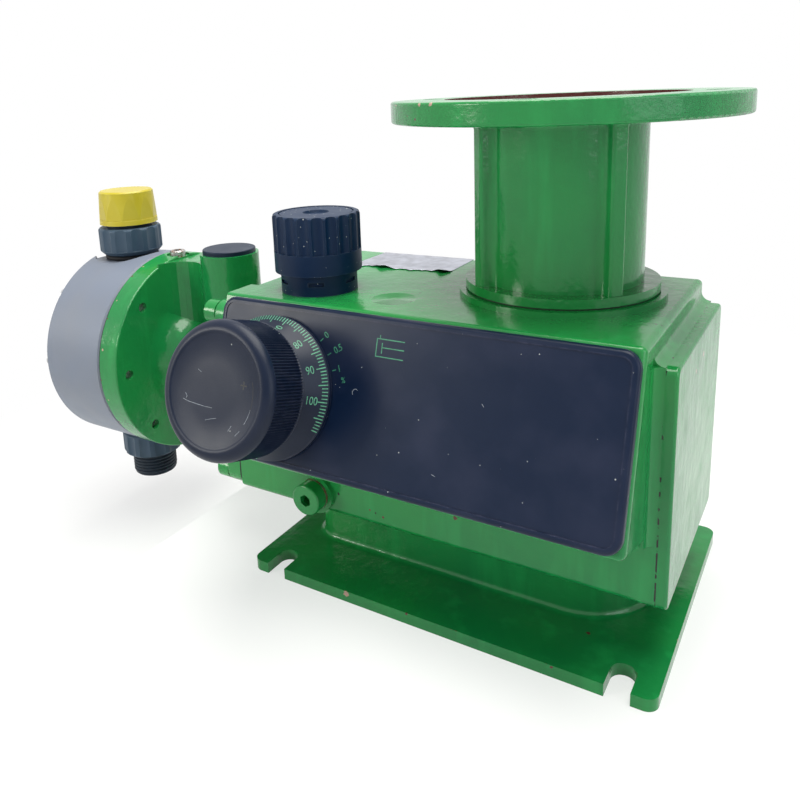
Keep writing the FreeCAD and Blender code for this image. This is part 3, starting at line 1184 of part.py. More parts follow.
# Worm wheel: involute teeth on a helix that follows the worm's lead.
pressure = math.radians(20)
lead_angle = math.atan(s.module.value / (2 * s.worm_pitch_radius.value))


def wheel_outline(turn):
    """The closed outline of all teeth, turned by an angle in radians."""
    teeth = int(round(s.wheel_teeth.value))
    pitch_r = s.module.value * teeth / 2
    base_r = pitch_r * math.cos(pressure)
    outer_r = pitch_r + s.module.value
    root_r = pitch_r - s.module.value * 1.2
    half_tooth = (math.pi / 2 - s.tooth_play.value / s.module.value) / teeth
    involute = math.tan(pressure) - pressure
    start = max(base_r, root_r)
    edges = []
    last = None
    first = None
    for tooth in range(teeth):
        centre = turn + 2 * math.pi * tooth / teeth
        flank = []
        for k in range(4):
            radius = start + (outer_r - start) * k / 3.0
            angle = math.acos(min(1.0, base_r / radius))
            flank.append((radius, half_tooth + involute - (math.tan(angle) - angle)))
        low = [polar(root_r, centre - flank[0][1])] if start > root_r else []
        rising = [polar(r, centre - a) for r, a in flank]
        falling = [polar(r, centre + a) for r, a in reversed(flank)]
        high = [polar(root_r, centre + flank[0][1])] if start > root_r else []
        points = low + rising + falling + high
        if last is not None:
            edges.append(Part.makeLine(last, points[0]))
        else:
            first = points[0]
        edges.extend(Part.makeLine(a, b) for a, b in zip(points, points[1:]))
        last = points[-1]
    edges.append(Part.makeLine(last, first))
    return edges


def polar(radius, angle):
    return FreeCAD.Vector(radius * math.cos(angle), radius * math.sin(angle), 0)


face_twist = s.wheel_width.value / 2 * math.tan(lead_angle) / wheel_pitch.value
tooth_phase = 0.0
low_wire = Part.Wire(wheel_outline(tooth_phase - face_twist))
high_wire = Part.Wire(wheel_outline(tooth_phase + face_twist))
low_wire.translate(FreeCAD.Vector(0, 0, -s.wheel_width.value / 2))
high_wire.translate(FreeCAD.Vector(0, 0, s.wheel_width.value / 2))
wheel_solid = Part.makeLoft([low_wire, high_wire], True, True)
hub = Part.makeCylinder(s.hub_radius.value, s.wheel_width.value + s.eccentric_gap.value * 2,
                        FreeCAD.Vector(0, 0, -s.wheel_width.value / 2 - s.eccentric_gap.value))
bore = Part.makeCylinder(s.shaft_radius.value, 4 * s.wheel_width.value,
                         FreeCAD.Vector(0, 0, -2 * s.wheel_width.value))
wheel_shape = wheel_solid.fuse(hub).cut(bore)
solids_node("worm_wheel", wheel_shape, (wheel_x, s.motor_y, pump_z), TURNS["-y"])

shaft = new_body("wheel_shaft")
shaft_length = s.case_front + s.case_back - s.wall * 2
cylinder(shaft, "rod", s.shaft_radius, shaft_length, (0, 0, 0))
dress(shaft, "Chamfer", s.shaft_radius * 0.08,
      lambda e: is_circle(e, s.shaft_radius, 0) or is_circle(e, s.shaft_radius, shaft_length))
place(shaft, (wheel_x, inner_front, pump_z), TURNS["y"])
node(shaft, "wheel_shaft")

# Eccentric on the wheel shaft with its roller ring, an eighth of a turn short of
# its far point, so that the plunger is still on its way back.
eccentric_back = s.motor_y - s.wheel_width / 2 - s.eccentric_gap
throw_x = s.throw * cosine(s.eccentric_turn)
throw_z = s.throw * sine(s.eccentric_turn)
eccentric = new_body("eccentric")
cylinder(eccentric, "disc", s.eccentric_radius, s.eccentric_width, (throw_x, throw_z, 0))
cylinder(eccentric, "bore", s.shaft_radius, s.eccentric_width, (0, 0, 0), cut=True)
place(eccentric, (wheel_x, eccentric_back, pump_z), TURNS["-y"])
node(eccentric, "eccentric")
node(ring("eccentric_ring", s.eccentric_bearing, s.eccentric_radius, s.eccentric_width,
          (wheel_x + throw_x, eccentric_back, pump_z + throw_z), "-y"), "eccentric_ring")

# Plunger: the guided rod, the stop collar, the block that carries the finger
# beside the worm wheel, and the return spring with its seat.
finger_tip = wheel_x - s.eccentric_bearing - s.throw - s.contact_gap
rod_front = head_face + s.diaphragm_thick + s.core_rear
rod_end = wheel_x - wheel_pitch - s.module - s.stroke - s.rod_gap
block_start = knob_x + s.cam_low + s.stroke + s.contact_gap * 2
plunger = new_body("plunger")
cylinder(plunger, "rod", s.rod_radius, rod_end - rod_front, (rod_front, 0, pump_z), "x")
finger_y = eccentric_back - s.eccentric_width
block(plunger, "block", (rod_end - block_start, s.rod_radius - finger_y, s.rod_radius * 2),
      (block_start, finger_y, pump_z - s.rod_radius))
block(plunger, "finger", (finger_tip - rod_end, s.eccentric_width, s.rod_radius * 2),
      (rod_end, finger_y, pump_z - s.rod_radius))
node(plunger, "plunger")

rest_slack = s.stroke * (1.0 - s.cam_rest) + s.contact_gap
collar_face = knob_x - s.cam_low - s.stroke - rest_slack
node(ring("stop_collar", s.collar_radius, s.rod_radius, s.collar_thick,
          (collar_face, 0, pump_z), "-x"), "stop_collar")

seat_floor = carrier_far + s.carrier_plate / 2
node(ring("spring_seat", s.spring_seat_radius, s.rod_radius + s.contact_gap,
          s.spring_seat_thick, (seat_floor, 0, pump_z), "x"), "spring_seat")
spring_low = seat_floor + s.spring_seat_thick
spring_high = collar_face - s.collar_thick
spring_room_x = spring_high - spring_low
wire_r = s.spring_wire.value / 2
coil_height = spring_room_x.value - s.spring_wire.value - 2 * s.rod_play.value
coil = Part.makeHelix(coil_height / s.spring_turns.value, coil_height, s.spring_radius.value)
section = Part.Wire(Part.makeCircle(wire_r, FreeCAD.Vector(s.spring_radius.value, 0, 0),
                                    FreeCAD.Vector(0, 1, 0)))
spring_shape = Part.Wire(coil).makePipeShell([section], True, True)
solids_node("return_spring", spring_shape,
            (spring_low + s.spring_wire / 2 + s.rod_play, 0, pump_z), TURNS["x"])

# Every object is sound, and each piece goes to a file of its own.
doc.recompute()
for thing in doc.Objects:
    if {"Invalid", "Error"} & set(thing.State):
        raise RuntimeError(f"{thing.Name} failed: {thing.State}")
os.makedirs("parts", exist_ok=True)
for thing in NODES:
    shape = thing.Shape
    if shape.isNull() or not shape.isValid() or not shape.Solids:
        raise RuntimeError(f"{thing.Label} has no sound shape")
    shape.exportStep(f"parts/{thing.Label}.step")
    box = shape.BoundBox
    print(f"{thing.Label}: {len(shape.Solids)} solids, x {box.XMin:.1f}..{box.XMax:.1f}, "
          f"y {box.YMin:.1f}..{box.YMax:.1f}, z {box.ZMin:.1f}..{box.ZMax:.1f}")
print(f"{len(NODES)} nodes")
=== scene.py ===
import math

import bmesh
import bpy
from mathutils import Matrix, Vector


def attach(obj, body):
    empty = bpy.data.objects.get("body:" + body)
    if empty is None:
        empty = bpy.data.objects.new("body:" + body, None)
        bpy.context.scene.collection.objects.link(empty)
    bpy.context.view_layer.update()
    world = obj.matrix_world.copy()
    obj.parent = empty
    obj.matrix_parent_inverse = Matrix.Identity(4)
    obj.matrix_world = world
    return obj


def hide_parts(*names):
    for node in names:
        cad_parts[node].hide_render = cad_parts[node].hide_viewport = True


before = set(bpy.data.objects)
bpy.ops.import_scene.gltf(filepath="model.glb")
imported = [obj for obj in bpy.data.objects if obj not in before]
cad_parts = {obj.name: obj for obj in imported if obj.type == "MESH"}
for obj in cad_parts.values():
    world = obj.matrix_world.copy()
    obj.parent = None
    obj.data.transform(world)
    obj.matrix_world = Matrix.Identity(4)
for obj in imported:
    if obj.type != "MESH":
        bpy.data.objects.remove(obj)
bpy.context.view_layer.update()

# Base plate with its plinth. A grey-iron casting, milled underneath, sprayed
# with glossy green machine enamel over red-brown primer; the coat is thick,
# softly pebbled, and knocked off along the sharp edges.
MM = 0.001
ENAMEL = (0.016, 0.25, 0.05, 1)
ENAMEL_DEEP = (0.004, 0.15, 0.045, 1)
# Lighter green along the paint runs: a painted streak highlight down the walls.
ENAMEL_RUN_HIGHLIGHT = (0.02, 0.36, 0.09, 1)
# Red-brown primer, set darker than the primer itself as painted shade for the motor's recess; the
# chips use the same colour.
PRIMER_WITH_PAINTED_SHADE = (0.1, 0.028, 0.026, 1)
PRIMER_PALE = (0.42, 0.27, 0.22, 1)
SOOT = (0.006, 0.012, 0.008, 1)


def new_material(name):
    """A material, its node tree and its shader node."""
    material = bpy.data.materials.new(name)
    material.use_nodes = True
    tree = material.node_tree
    shader = next(n for n in tree.nodes if n.type == "BSDF_PRINCIPLED")
    return material, tree, shader


def add(tree, kind, **settings):
    """A shader node with its settings."""
    made = tree.nodes.new("ShaderNode" + kind)
    for key, value in settings.items():
        setattr(made, key, value)
    return made


def noise(tree, scale, detail=3.0, roughness=0.5, stretch=None):
    """Cloudy noise in metres of the object's own space, stretched where asked."""
    place = add(tree, "TexCoord").outputs["Object"]
    if stretch:
        pull = add(tree, "VectorMath", operation="MULTIPLY")
        pull.inputs[1].default_value = stretch
        tree.links.new(place, pull.inputs[0])
        place = pull.outputs["Vector"]
    grain = add(tree, "TexNoise")
    grain.inputs["Scale"].default_value = scale
    grain.inputs["Detail"].default_value = detail
    grain.inputs["Roughness"].default_value = roughness
    tree.links.new(place, grain.inputs["Vector"])
    return grain.outputs["Fac"]


def steps(tree, value, low, high):
    """Value from 0 at low to 1 at high, clamped."""
    span = add(tree, "MapRange")
    span.inputs["From Min"].default_value = low
    span.inputs["From Max"].default_value = high
    tree.links.new(value, span.inputs["Value"])
    return span.outputs["Result"]


def blend_colours(tree, factor, first, second):
    """The first colour at factor 0, the second at 1; each a colour or a socket."""
    mixed = add(tree, "Mix", data_type="RGBA")
    tree.links.new(factor, mixed.inputs["Factor"])
    for socket, colour in (("A", first), ("B", second)):
        target = [s for s in mixed.inputs if s.name == socket and s.type == "RGBA"][0]
        if isinstance(colour, tuple):
            target.default_value = colour
        else:
            tree.links.new(colour, target)
    return [s for s in mixed.outputs if s.type == "RGBA"][0]


def multiply(tree, first, second):
    """Product of two values, each a number or a socket."""
    product = add(tree, "Math", operation="MULTIPLY")
    for socket, value in zip(product.inputs, (first, second)):
        if isinstance(value, float):
            socket.default_value = value
        else:
            tree.links.new(value, socket)
    return product.outputs[0]


def greatest(tree, *values):
    """The largest of several masks."""
    result = values[0]
    for value in values[1:]:
        larger = add(tree, "Math", operation="MAXIMUM")
        tree.links.new(result, larger.inputs[0])
        tree.links.new(value, larger.inputs[1])
        result = larger.outputs[0]
    return result


def specks(tree, scale, size, share):
    """Small round specks, at most one in each cell, in a share of the cells."""
    place = add(tree, "TexCoord")
    cells = add(tree, "TexVoronoi")
    cells.inputs["Scale"].default_value = scale
    tree.links.new(place.outputs["Object"], cells.inputs["Vector"])
    parts = add(tree, "SeparateColor")
    tree.links.new(cells.outputs["Color"], parts.inputs[0])
    reach = multiply(tree, parts.outputs[1], size)
    inside = add(tree, "Math", operation="LESS_THAN")
    tree.links.new(cells.outputs["Distance"], inside.inputs[0])
    tree.links.new(reach, inside.inputs[1])
    return multiply(tree, inside.outputs[0], steps(tree, parts.outputs[0], 1 - share, 1.001 - share))


def near(tree, at, radius, ragged=0.35):
    """1 within a ragged round spot about a point given in millimetres."""
    place = add(tree, "TexCoord")
    away = add(tree, "VectorMath", operation="DISTANCE")
    away.inputs[1].default_value = [c * MM for c in at]
    tree.links.new(place.outputs["Object"], away.inputs[0])
    wobble = add(tree, "Math", operation="MULTIPLY_ADD")
    wobble.inputs[1].default_value = radius * MM * ragged * 4
    tree.links.new(noise(tree, 900, 2), wobble.inputs[0])
    tree.links.new(away.outputs["Value"], wobble.inputs[2])
    middle = radius * MM * (1 + ragged * 2)
    return steps(tree, wobble.outputs[0], middle, middle * 0.85)


def marks(tree, skin, spots):
    """Chips and specks laid on a coat: a point, a radius and a colour each."""
    for at, radius, colour in spots:
        skin = blend_colours(tree, near(tree, at, radius), skin, colour)
    return skin


def relief(tree, shader, height, depth, before=None):
    """Bump of a depth in metres."""
    bump = add(tree, "Bump")
    bump.inputs["Distance"].default_value = depth
    bump.inputs["Strength"].default_value = 1.0
    tree.links.new(height, bump.inputs["Height"])
    if before is not None:
        tree.links.new(before, bump.inputs["Normal"])
    tree.links.new(bump.outputs["Normal"], shader.inputs["Normal"])
    return bump.outputs["Normal"]


def edge_mask(tree, reach):
    """1 along sharp outer edges, from the difference of a rounded normal."""
    rounded = add(tree, "Bevel", samples=4)
    rounded.inputs["Radius"].default_value = reach
    plain = add(tree, "NewGeometry")
    facing = add(tree, "VectorMath", operation="DOT_PRODUCT")
    tree.links.new(rounded.outputs["Normal"], facing.inputs[0])
    tree.links.new(plain.outputs["Normal"], facing.inputs[1])
    return steps(tree, facing.outputs["Value"], 0.985, 0.85)


def green_enamel(name, chips=0.5, peel=0.00007, runs=0.00012, spots=(), bare=None):
    """Glossy enamel: pebbled skin, runs down the walls with painted streak highlights, primer where it
    is knocked off.
    """
    material, tree, shader = new_material(name)
    cloud = steps(tree, noise(tree, 9, 4), 0.3, 0.75)
    coat = blend_colours(tree, cloud, ENAMEL, ENAMEL_DEEP)
    # Real runs in the paint, drawn in a lighter green as painted streak highlights.
    run_highlight = steps(tree, noise(tree, 70, 3, 0.6, (1, 1, 0.14)), 0.52, 0.72)
    coat = blend_colours(tree, multiply(tree, run_highlight, 0.35), coat, ENAMEL_RUN_HIGHLIGHT)
    worn = multiply(tree, edge_mask(tree, 0.001),
                    steps(tree, noise(tree, 130, 4, 0.7), 0.7 - chips * 0.1, 0.72))
    coat = blend_colours(tree, worn, coat, PRIMER_WITH_PAINTED_SHADE)
    coat = blend_colours(tree, specks(tree, 70, 0.045, 0.1 * chips), coat, PRIMER_WITH_PAINTED_SHADE)
    coat = blend_colours(tree, specks(tree, 45, 0.03, 0.08 * chips), coat, SOOT)
    if bare:
        mask, under = bare
        coat = blend_colours(tree, mask(tree), coat, under)
    tree.links.new(marks(tree, coat, spots), shader.inputs["Base Color"])
    rough = add(tree, "MapRange")
    rough.inputs["To Min"].default_value = 0.1
    rough.inputs["To Max"].default_value = 0.26
    tree.links.new(steps(tree, noise(tree, 60, 3), 0.2, 0.8), rough.inputs["Value"])
    tree.links.new(rough.outputs["Result"], shader.inputs["Roughness"])
    skin = relief(tree, shader, noise(tree, 420, 2), peel)
    skin = relief(tree, shader, noise(tree, 60, 3, 0.6, (1, 1, 0.16)), runs, skin)
    relief(tree, shader, noise(tree, 110, 2), peel * 3, skin)
    shader.inputs["Specular IOR Level"].default_value = 0.4
    return material


def finish_nodes(material, *names):
    """Gives CAD pieces their material."""
    for name in names:
        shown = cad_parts[name]
        if not shown.material_slots:
            shown.data.materials.append(material)
        for holder in shown.material_slots:
            holder.material = material


base_green = green_enamel("base_green_enamel", chips=0.8, peel=0.0001, runs=0.00003, spots=(
    ((-45, -73, 4.5), 1.6, PRIMER_PALE), ((-10, -73, 5.6), 0.8, PRIMER_WITH_PAINTED_SHADE), ((62, -72.6, 5), 0.9, PRIMER_WITH_PAINTED_SHADE),
    ((106, -30, 5.2), 1.0, PRIMER_PALE), ((106, 22, 4.8), 0.7, PRIMER_WITH_PAINTED_SHADE), ((70, -45, 6), 1.1, PRIMER_WITH_PAINTED_SHADE)))
finish_nodes(base_green, "base_foot")

# Zinc-plated screws that hold the foot to the gear housing, and the others of
# the same steel: a pale turned metal with a faint grain round the heads.
RUST = (0.17, 0.062, 0.025, 1)


def metal(name, colour, rough, grain=900, depth=0.00001, rust=0.0):
    """Turned or ground metal with fine streaks, slight tarnish and any rust."""
    material, tree, shader = new_material(name)
    shader.inputs["Metallic"].default_value = 1.0
    tarnish = steps(tree, noise(tree, 180, 4), 0.35, 0.75)
    dull = tuple(c * 0.62 for c in colour[:3]) + (1,)
    skin = blend_colours(tree, tarnish, colour, dull)
    if rust:
        eaten = steps(tree, noise(tree, 420, 4, 0.65), 0.62 - rust * 0.16, 0.66 - rust * 0.1)
        skin = blend_colours(tree, eaten, skin, RUST)
        solid = add(tree, "Math", operation="SUBTRACT")
        solid.inputs[0].default_value = 1.0
        tree.links.new(eaten, solid.inputs[1])
        tree.links.new(solid.outputs[0], shader.inputs["Metallic"])
    tree.links.new(skin, shader.inputs["Base Color"])
    span = add(tree, "MapRange")
    span.inputs["To Min"].default_value = rough * 0.8
    span.inputs["To Max"].default_value = rough * 1.3
    tree.links.new(noise(tree, grain, 2), span.inputs["Value"])
    tree.links.new(span.outputs["Result"], shader.inputs["Roughness"])
    relief(tree, shader, noise(tree, grain, 2), depth)
    return material


zinc = metal("zinc_plate", (0.62, 0.63, 0.64, 1), 0.34)
finish_nodes(zinc, "foot_screws", "adaptor_screws", "head_bolts", "head_washers")

# Gear housing with its end cover. One casting with a raised roof and a sloping
# console; the cover is a plate set in paint, so its joint shows as a thin line,
# and the roof keeps a thumb-sized dent from the mould.
COVER_JOINT, COVER_FACE = 99.6, 104.6
FRONT_WALL, BACK_WALL = -53.6, 53.3
ROOF = 153.7
DENT = (-29.0, -42.0, ROOF)
DENT_FLOOR, DENT_RADIUS, DENT_DEPTH = 2.0, 11.0, 2.2
LINE_HALF, LINE_FADES, LINE_FULL = 0.35, 110.0, 30.0


def joint_line(tree):
    """A broken dark line where the cover meets the housing."""
    place = add(tree, "TexCoord")
    parts = add(tree, "SeparateXYZ")
    tree.links.new(place.outputs["Object"], parts.inputs[0])
    band = add(tree, "Math", operation="COMPARE")
    band.inputs[1].default_value = COVER_JOINT * MM
    band.inputs[2].default_value = LINE_HALF * MM
    tree.links.new(parts.outputs["X"], band.inputs[0])
    low = steps(tree, parts.outputs["Z"], LINE_FADES * MM, LINE_FULL * MM)
    broken = add(tree, "Math", operation="MULTIPLY_ADD")
    broken.inputs[1].default_value = 0.22
    tree.links.new(low, broken.inputs[0])
    tree.links.new(noise(tree, 260, 2), broken.inputs[2])
    return multiply(tree, band.outputs[0], steps(tree, broken.outputs[0], 0.6, 0.64))


def press_dent(material):
    """A shallow bowl laid over the bumps that the coat already has."""
    tree = material.node_tree
    shader = next(n for n in tree.nodes if n.type == "BSDF_PRINCIPLED")
    away = add(tree, "VectorMath", operation="DISTANCE")
    away.inputs[1].default_value = [c * MM for c in DENT]
    tree.links.new(add(tree, "TexCoord").outputs["Object"], away.inputs[0])
    bowl = steps(tree, away.outputs["Value"], DENT_FLOOR * MM, DENT_RADIUS * MM)
    skin = shader.inputs["Normal"].links[0].from_socket
    relief(tree, shader, bowl, DENT_DEPTH * MM, skin)


housing_spots = (
    ((-22.5, -27.4, ROOF), 0.7, SOOT), ((-43.6, -16.5, ROOF), 0.5, SOOT),
    ((-49.6, -34.6, ROOF), 0.45, SOOT), ((-48.3, -31.9, ROOF), 0.4, SOOT),
    ((-46.5, -35.5, ROOF), 0.35, SOOT), ((91.1, -33.4, ROOF), 0.7, SOOT),
    ((93.5, -33.6, ROOF), 0.6, SOOT), ((96.0, -34.6, ROOF), 0.7, SOOT),
    ((98.6, -36.6, ROOF), 0.6, SOOT), ((-40.8, FRONT_WALL, 42.8), 0.6, PRIMER_WITH_PAINTED_SHADE),
    ((-37.5, FRONT_WALL, 42.0), 0.5, SOOT), ((-33.0, FRONT_WALL, 40.8), 0.7, PRIMER_WITH_PAINTED_SHADE),
    ((7.5, FRONT_WALL, 51.8), 1.3, PRIMER_WITH_PAINTED_SHADE), ((-60.0, FRONT_WALL, 47.0), 0.8, SOOT),
    ((30.0, BACK_WALL, 120.0), 1.2, PRIMER_WITH_PAINTED_SHADE), ((-20.0, BACK_WALL, 60.0), 0.9, SOOT))
cover_spots = (
    ((COVER_FACE, 4.7, 130.7), 1.3, PRIMER_PALE), ((COVER_FACE, -13.4, 128.2), 1.1, PRIMER_PALE),
    ((COVER_FACE, -30, 139.5), 0.9, PRIMER_WITH_PAINTED_SHADE), ((COVER_FACE, 25, 70), 1.0, SOOT))
housing_green = green_enamel("housing_green_enamel", chips=0.7, peel=0.00007,
                             bare=(joint_line, SOOT), spots=housing_spots)
press_dent(housing_green)
finish_nodes(housing_green, "gear_housing")
cover_green = green_enamel("cover_green_enamel", chips=1.0, peel=0.00008, runs=0.0002,
                           bare=(joint_line, SOOT), spots=cover_spots)
finish_nodes(cover_green, "end_cover")

# Panel cover: a satin black moulding on the console, with fine dust in its
# surface and light rubbed places along the rim.
PANEL_BLACK = (0.003, 0.010, 0.032, 1)
PANEL_WORN = (0.05, 0.055, 0.1, 1)
DUST = (0.42, 0.45, 0.46, 1)


def satin_plastic(name, colour, worn, rough=0.36, dust=0.0, grain=0.00002, gloss=0.2, lathe=None):
    """Moulded or turned plastic: fine grain, rubbed edges and specks of dust."""
    material, tree, shader = new_material(name)
    rubbed = multiply(tree, edge_mask(tree, 0.0009), steps(tree, noise(tree, 240, 3), 0.3, 0.7))
    cloud = multiply(tree, steps(tree, noise(tree, 28, 4), 0.45, 0.8), 0.3)
    skin = blend_colours(tree, greatest(tree, rubbed, cloud), colour, worn)
    if dust:
        fine = specks(tree, 380, 0.12, 0.2 * dust)
        coarse = specks(tree, 170, 0.1, 0.06 * dust)
        skin = blend_colours(tree, greatest(tree, fine, coarse), skin, DUST)
    tree.links.new(skin, shader.inputs["Base Color"])
    span = add(tree, "MapRange")
    span.inputs["To Min"].default_value = rough * 0.85
    span.inputs["To Max"].default_value = rough * 1.25
    tree.links.new(noise(tree, 90, 3), span.inputs["Value"])
    tree.links.new(span.outputs["Result"], shader.inputs["Roughness"])
    skin = relief(tree, shader, noise(tree, 1500, 2), grain)
    if lathe:
        relief(tree, shader, noise(tree, 1100, 2, 0.5, lathe), 0.00004, skin)
    shader.inputs["Specular IOR Level"].default_value = gloss
    return material


panel_black = satin_plastic("panel_black", PANEL_BLACK, PANEL_WORN, 0.3, dust=1.0)
finish_nodes(panel_black, "panel_cover")

# Print on the panel: fine mint-green lines of a plain pictogram beside the
# dial, and the vernier marks with their numbers that the dial is read against.
# The print lies in the panel's field, a little below its rim.
PANEL_TOP = Vector((0, -69.9, ROOF)) * MM
TILT = math.radians(17.6)
PANEL_AXES = Matrix.Rotation(math.radians(90) - TILT, 4, "X")
KNOB_X, KNOB_SLOPE = -75.6 * MM, 41.4 * MM


def on_panel(x, down, out=0.0):
    """A point of the panel's face: millimetres to the right, down and out."""
    return Matrix.Translation(PANEL_TOP) @ PANEL_AXES @ Vector((x * MM, -down * MM, out * MM))


def panel_axes_at(x, down, out=0.0):
    """The panel's axes, set at a point of its face."""
    return Matrix.Translation(on_panel(x, down, out)) @ PANEL_AXES


def print_ink(name, colour):
    """Matt ink, thin in places."""
    material, tree, shader = new_material(name)
    faded = steps(tree, noise(tree, 700, 2), 0.3, 0.6)
    thin = tuple(c * 0.6 for c in colour[:3]) + (1,)
    tree.links.new(blend_colours(tree, faded, thin, colour), shader.inputs["Base Color"])
    shader.inputs["Roughness"].default_value = 0.5
    return material


FIELD = -0.4
PRINT_WIDTH, PRINT_THICK = 0.45, 0.05
mint_ink = print_ink("mint_green_print", (0.045, 0.27, 0.15, 1))


def mesh_object(name, points, faces, material, body, smooth=False):
    """A mesh piece in the row's frame that rides on a body."""
    mesh = bpy.data.meshes.new(name)
    mesh.from_pydata([tuple(p) for p in points], [], faces)
    mesh.materials.append(material)
    for face in mesh.polygons:
        face.use_smooth = smooth
    made = bpy.data.objects.new(name, mesh)
    bpy.context.scene.collection.objects.link(made)
    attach(made, body)
    return made


def stroke_bars(strokes, width, thick, to_world):
    """Flat bars for line strokes given as pairs of points in a plane."""
    points, faces = [], []
    for (ax, ay), (bx, by) in strokes:
        along = Vector((bx - ax, by - ay)).normalized() * width / 2
        side = Vector((-along.y, along.x))
        start = len(points)
        for lift in (0.0, thick):
            for corner in (Vector((ax, ay)) - along + side, Vector((ax, ay)) - along - side,
                           Vector((bx, by)) + along - side, Vector((bx, by)) + along + side):
                points.append(to_world(corner.x, corner.y, lift))
        faces += [[start + k for k in quad] for quad in (
            (3, 2, 1, 0), (4, 5, 6, 7), (0, 1, 5, 4), (1, 2, 6, 5), (2, 3, 7, 6), (3, 0, 4, 7))]
    return points, faces


def field_point(x, down, lift):
    """A point of the panel's field, in world metres."""
    return on_panel(x, down, FIELD + lift)


pictogram = [
    ((-20.35, 10.2), (-6.5, 10.2)), ((-20.35, 18.2), (-6.4, 18.2)), ((-20.35, 10.2), (-20.35, 18.2)),
    ((-18.9, 8.7), (-18.9, 10.2)), ((-17.5, 12.1), (-17.5, 16.5)), ((-17.5, 14.0), (-6.4, 14.0))]
points, faces = stroke_bars(pictogram, PRINT_WIDTH, PRINT_THICK, field_point)
mesh_object("panel_pictogram", points, faces, mint_ink, "pump_frame")


def numeral(name, text, size, place, material, body, narrow=1.0):
    """A printed number as a thin mesh that lies on the plane of a matrix."""
    curve = bpy.data.curves.new(name, "FONT")
    curve.body = text
    curve.size = size * MM
    curve.extrude = 0.03 * MM
    curve.align_x = "CENTER"
    curve.align_y = "CENTER"
    holder = bpy.data.objects.new(name + "_text", curve)
    bpy.context.scene.collection.objects.link(holder)
    bpy.context.view_layer.update()
    mesh = bpy.data.meshes.new_from_object(holder.evaluated_get(
        bpy.context.evaluated_depsgraph_get()))
    bpy.data.objects.remove(holder)
    mesh.name = name
    mesh.transform(place @ Matrix.Diagonal((narrow, 1, 1, 1)))
    mesh.materials.clear()
    mesh.materials.append(material)
    made = bpy.data.objects.new(name, mesh)
    bpy.context.scene.collection.objects.link(made)
    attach(made, body)
    return made


def round_knob(radius, angle):
    """Millimetres right and down on the panel, from the knob's axis and in degrees."""
    turn = math.radians(angle)
    return KNOB_X / MM + radius * math.cos(turn), KNOB_SLOPE / MM - radius * math.sin(turn)


VERNIER = (("0", 46.4, 40.2), ("0.5", 34.0, 42.2), ("1", 21.6, 39.6))
PER_CENT = ("%", 13.6, 40.9)
VERNIER_INNER, VERNIER_OUTER = 35.9, 37.6
VERNIER_SIZE, PER_CENT_SIZE, VERNIER_NARROW = 4.6, 3.8, 0.85
strokes = [(round_knob(VERNIER_INNER, angle), round_knob(VERNIER_OUTER, angle))
           for text, angle, radius in VERNIER]
points, faces = stroke_bars(strokes, PRINT_WIDTH, PRINT_THICK, field_point)
mesh_object("vernier_marks", points, faces, mint_ink, "pump_frame")
for k, (text, angle, radius) in enumerate(VERNIER + (PER_CENT,)):
    size = PER_CENT_SIZE if text == "%" else VERNIER_SIZE
    place = panel_axes_at(*round_knob(radius, angle), FIELD)
    place = place @ Matrix.Rotation(math.radians(angle), 4, "Z")
    numeral(f"vernier_number_{k}", text, size, place, mint_ink,
                    "pump_frame", VERNIER_NARROW)

# Scratches in the panel, left pale by a tool: one hook beside the vernier and
# two short ticks further right, each a hair's breadth wide.
SCRATCH_WIDTH, SCRATCH_THICK = 0.18, 0.03
pale_scratch = print_ink("pale_scratch", (0.3, 0.34, 0.4, 1))
hook = [(-29.9, 37.2), (-30.2, 36.0), (-29.6, 34.9), (-28.5, 34.4), (-27.6, 34.9)]
strokes = list(zip(hook, hook[1:])) + [((14.0, 64.0), (15.6, 64.5)), ((33.0, 30.5), (33.8, 31.6))]
points, faces = stroke_bars(strokes, SCRATCH_WIDTH, SCRATCH_THICK, field_point)
mesh_object("panel_scratches", points, faces, pale_scratch, "pump_frame")

# Stroke knob, turned in black plastic: a dished face inside a round rim, a fine
# straight knurl for the fingers, and under it a cone that slopes down to the
# dial disc and carries the scale, so that it is read from the side.
# Each profile point is a radius and a height above the panel, in millimetres.
SPINDLE_HOLE, HOLE_TOP, DISC_TOP = 6.1, 26.0, 3.04
CONE_LOW, CONE_HIGH = (34.85, 3.3), (26.6, 11.55)
KNOB_RADIUS, KNOB_RISE, KNOB_RIM, KNOB_FACE = 31.9, 42.6, 5.0, 42.1
KNURL_ROOT, KNURL_LOW, KNURL_HIGH, KNURL_COUNT = 31.2, 18.9, 37.2, 144
KNOB_PROFILE = ((SPINDLE_HOLE, DISC_TOP), (34.6, DISC_TOP), CONE_LOW, CONE_HIGH, (26.3, 12.2),
                (26.3, 17.8), (31.3, 17.8), (31.75, 18.1), (KNOB_RADIUS, 18.5))
KNOB_CROWN = tuple((KNOB_RADIUS - KNOB_RIM * (1 - math.cos(math.radians(t))),
                    KNOB_RISE - KNOB_RIM * (1 - math.sin(math.radians(t)))) for t in range(6, 97, 10))
KNOB_CROWN += ((25.8, 42.35), (25.2, KNOB_FACE), (13.0, KNOB_FACE), (1.0, KNOB_FACE))


def on_knob(radius, turn, out):
    """A point round the knob's axis: millimetres, radians."""
    return on_panel(KNOB_X / MM + radius * math.cos(turn),
                    KNOB_SLOPE / MM - radius * math.sin(turn), out)


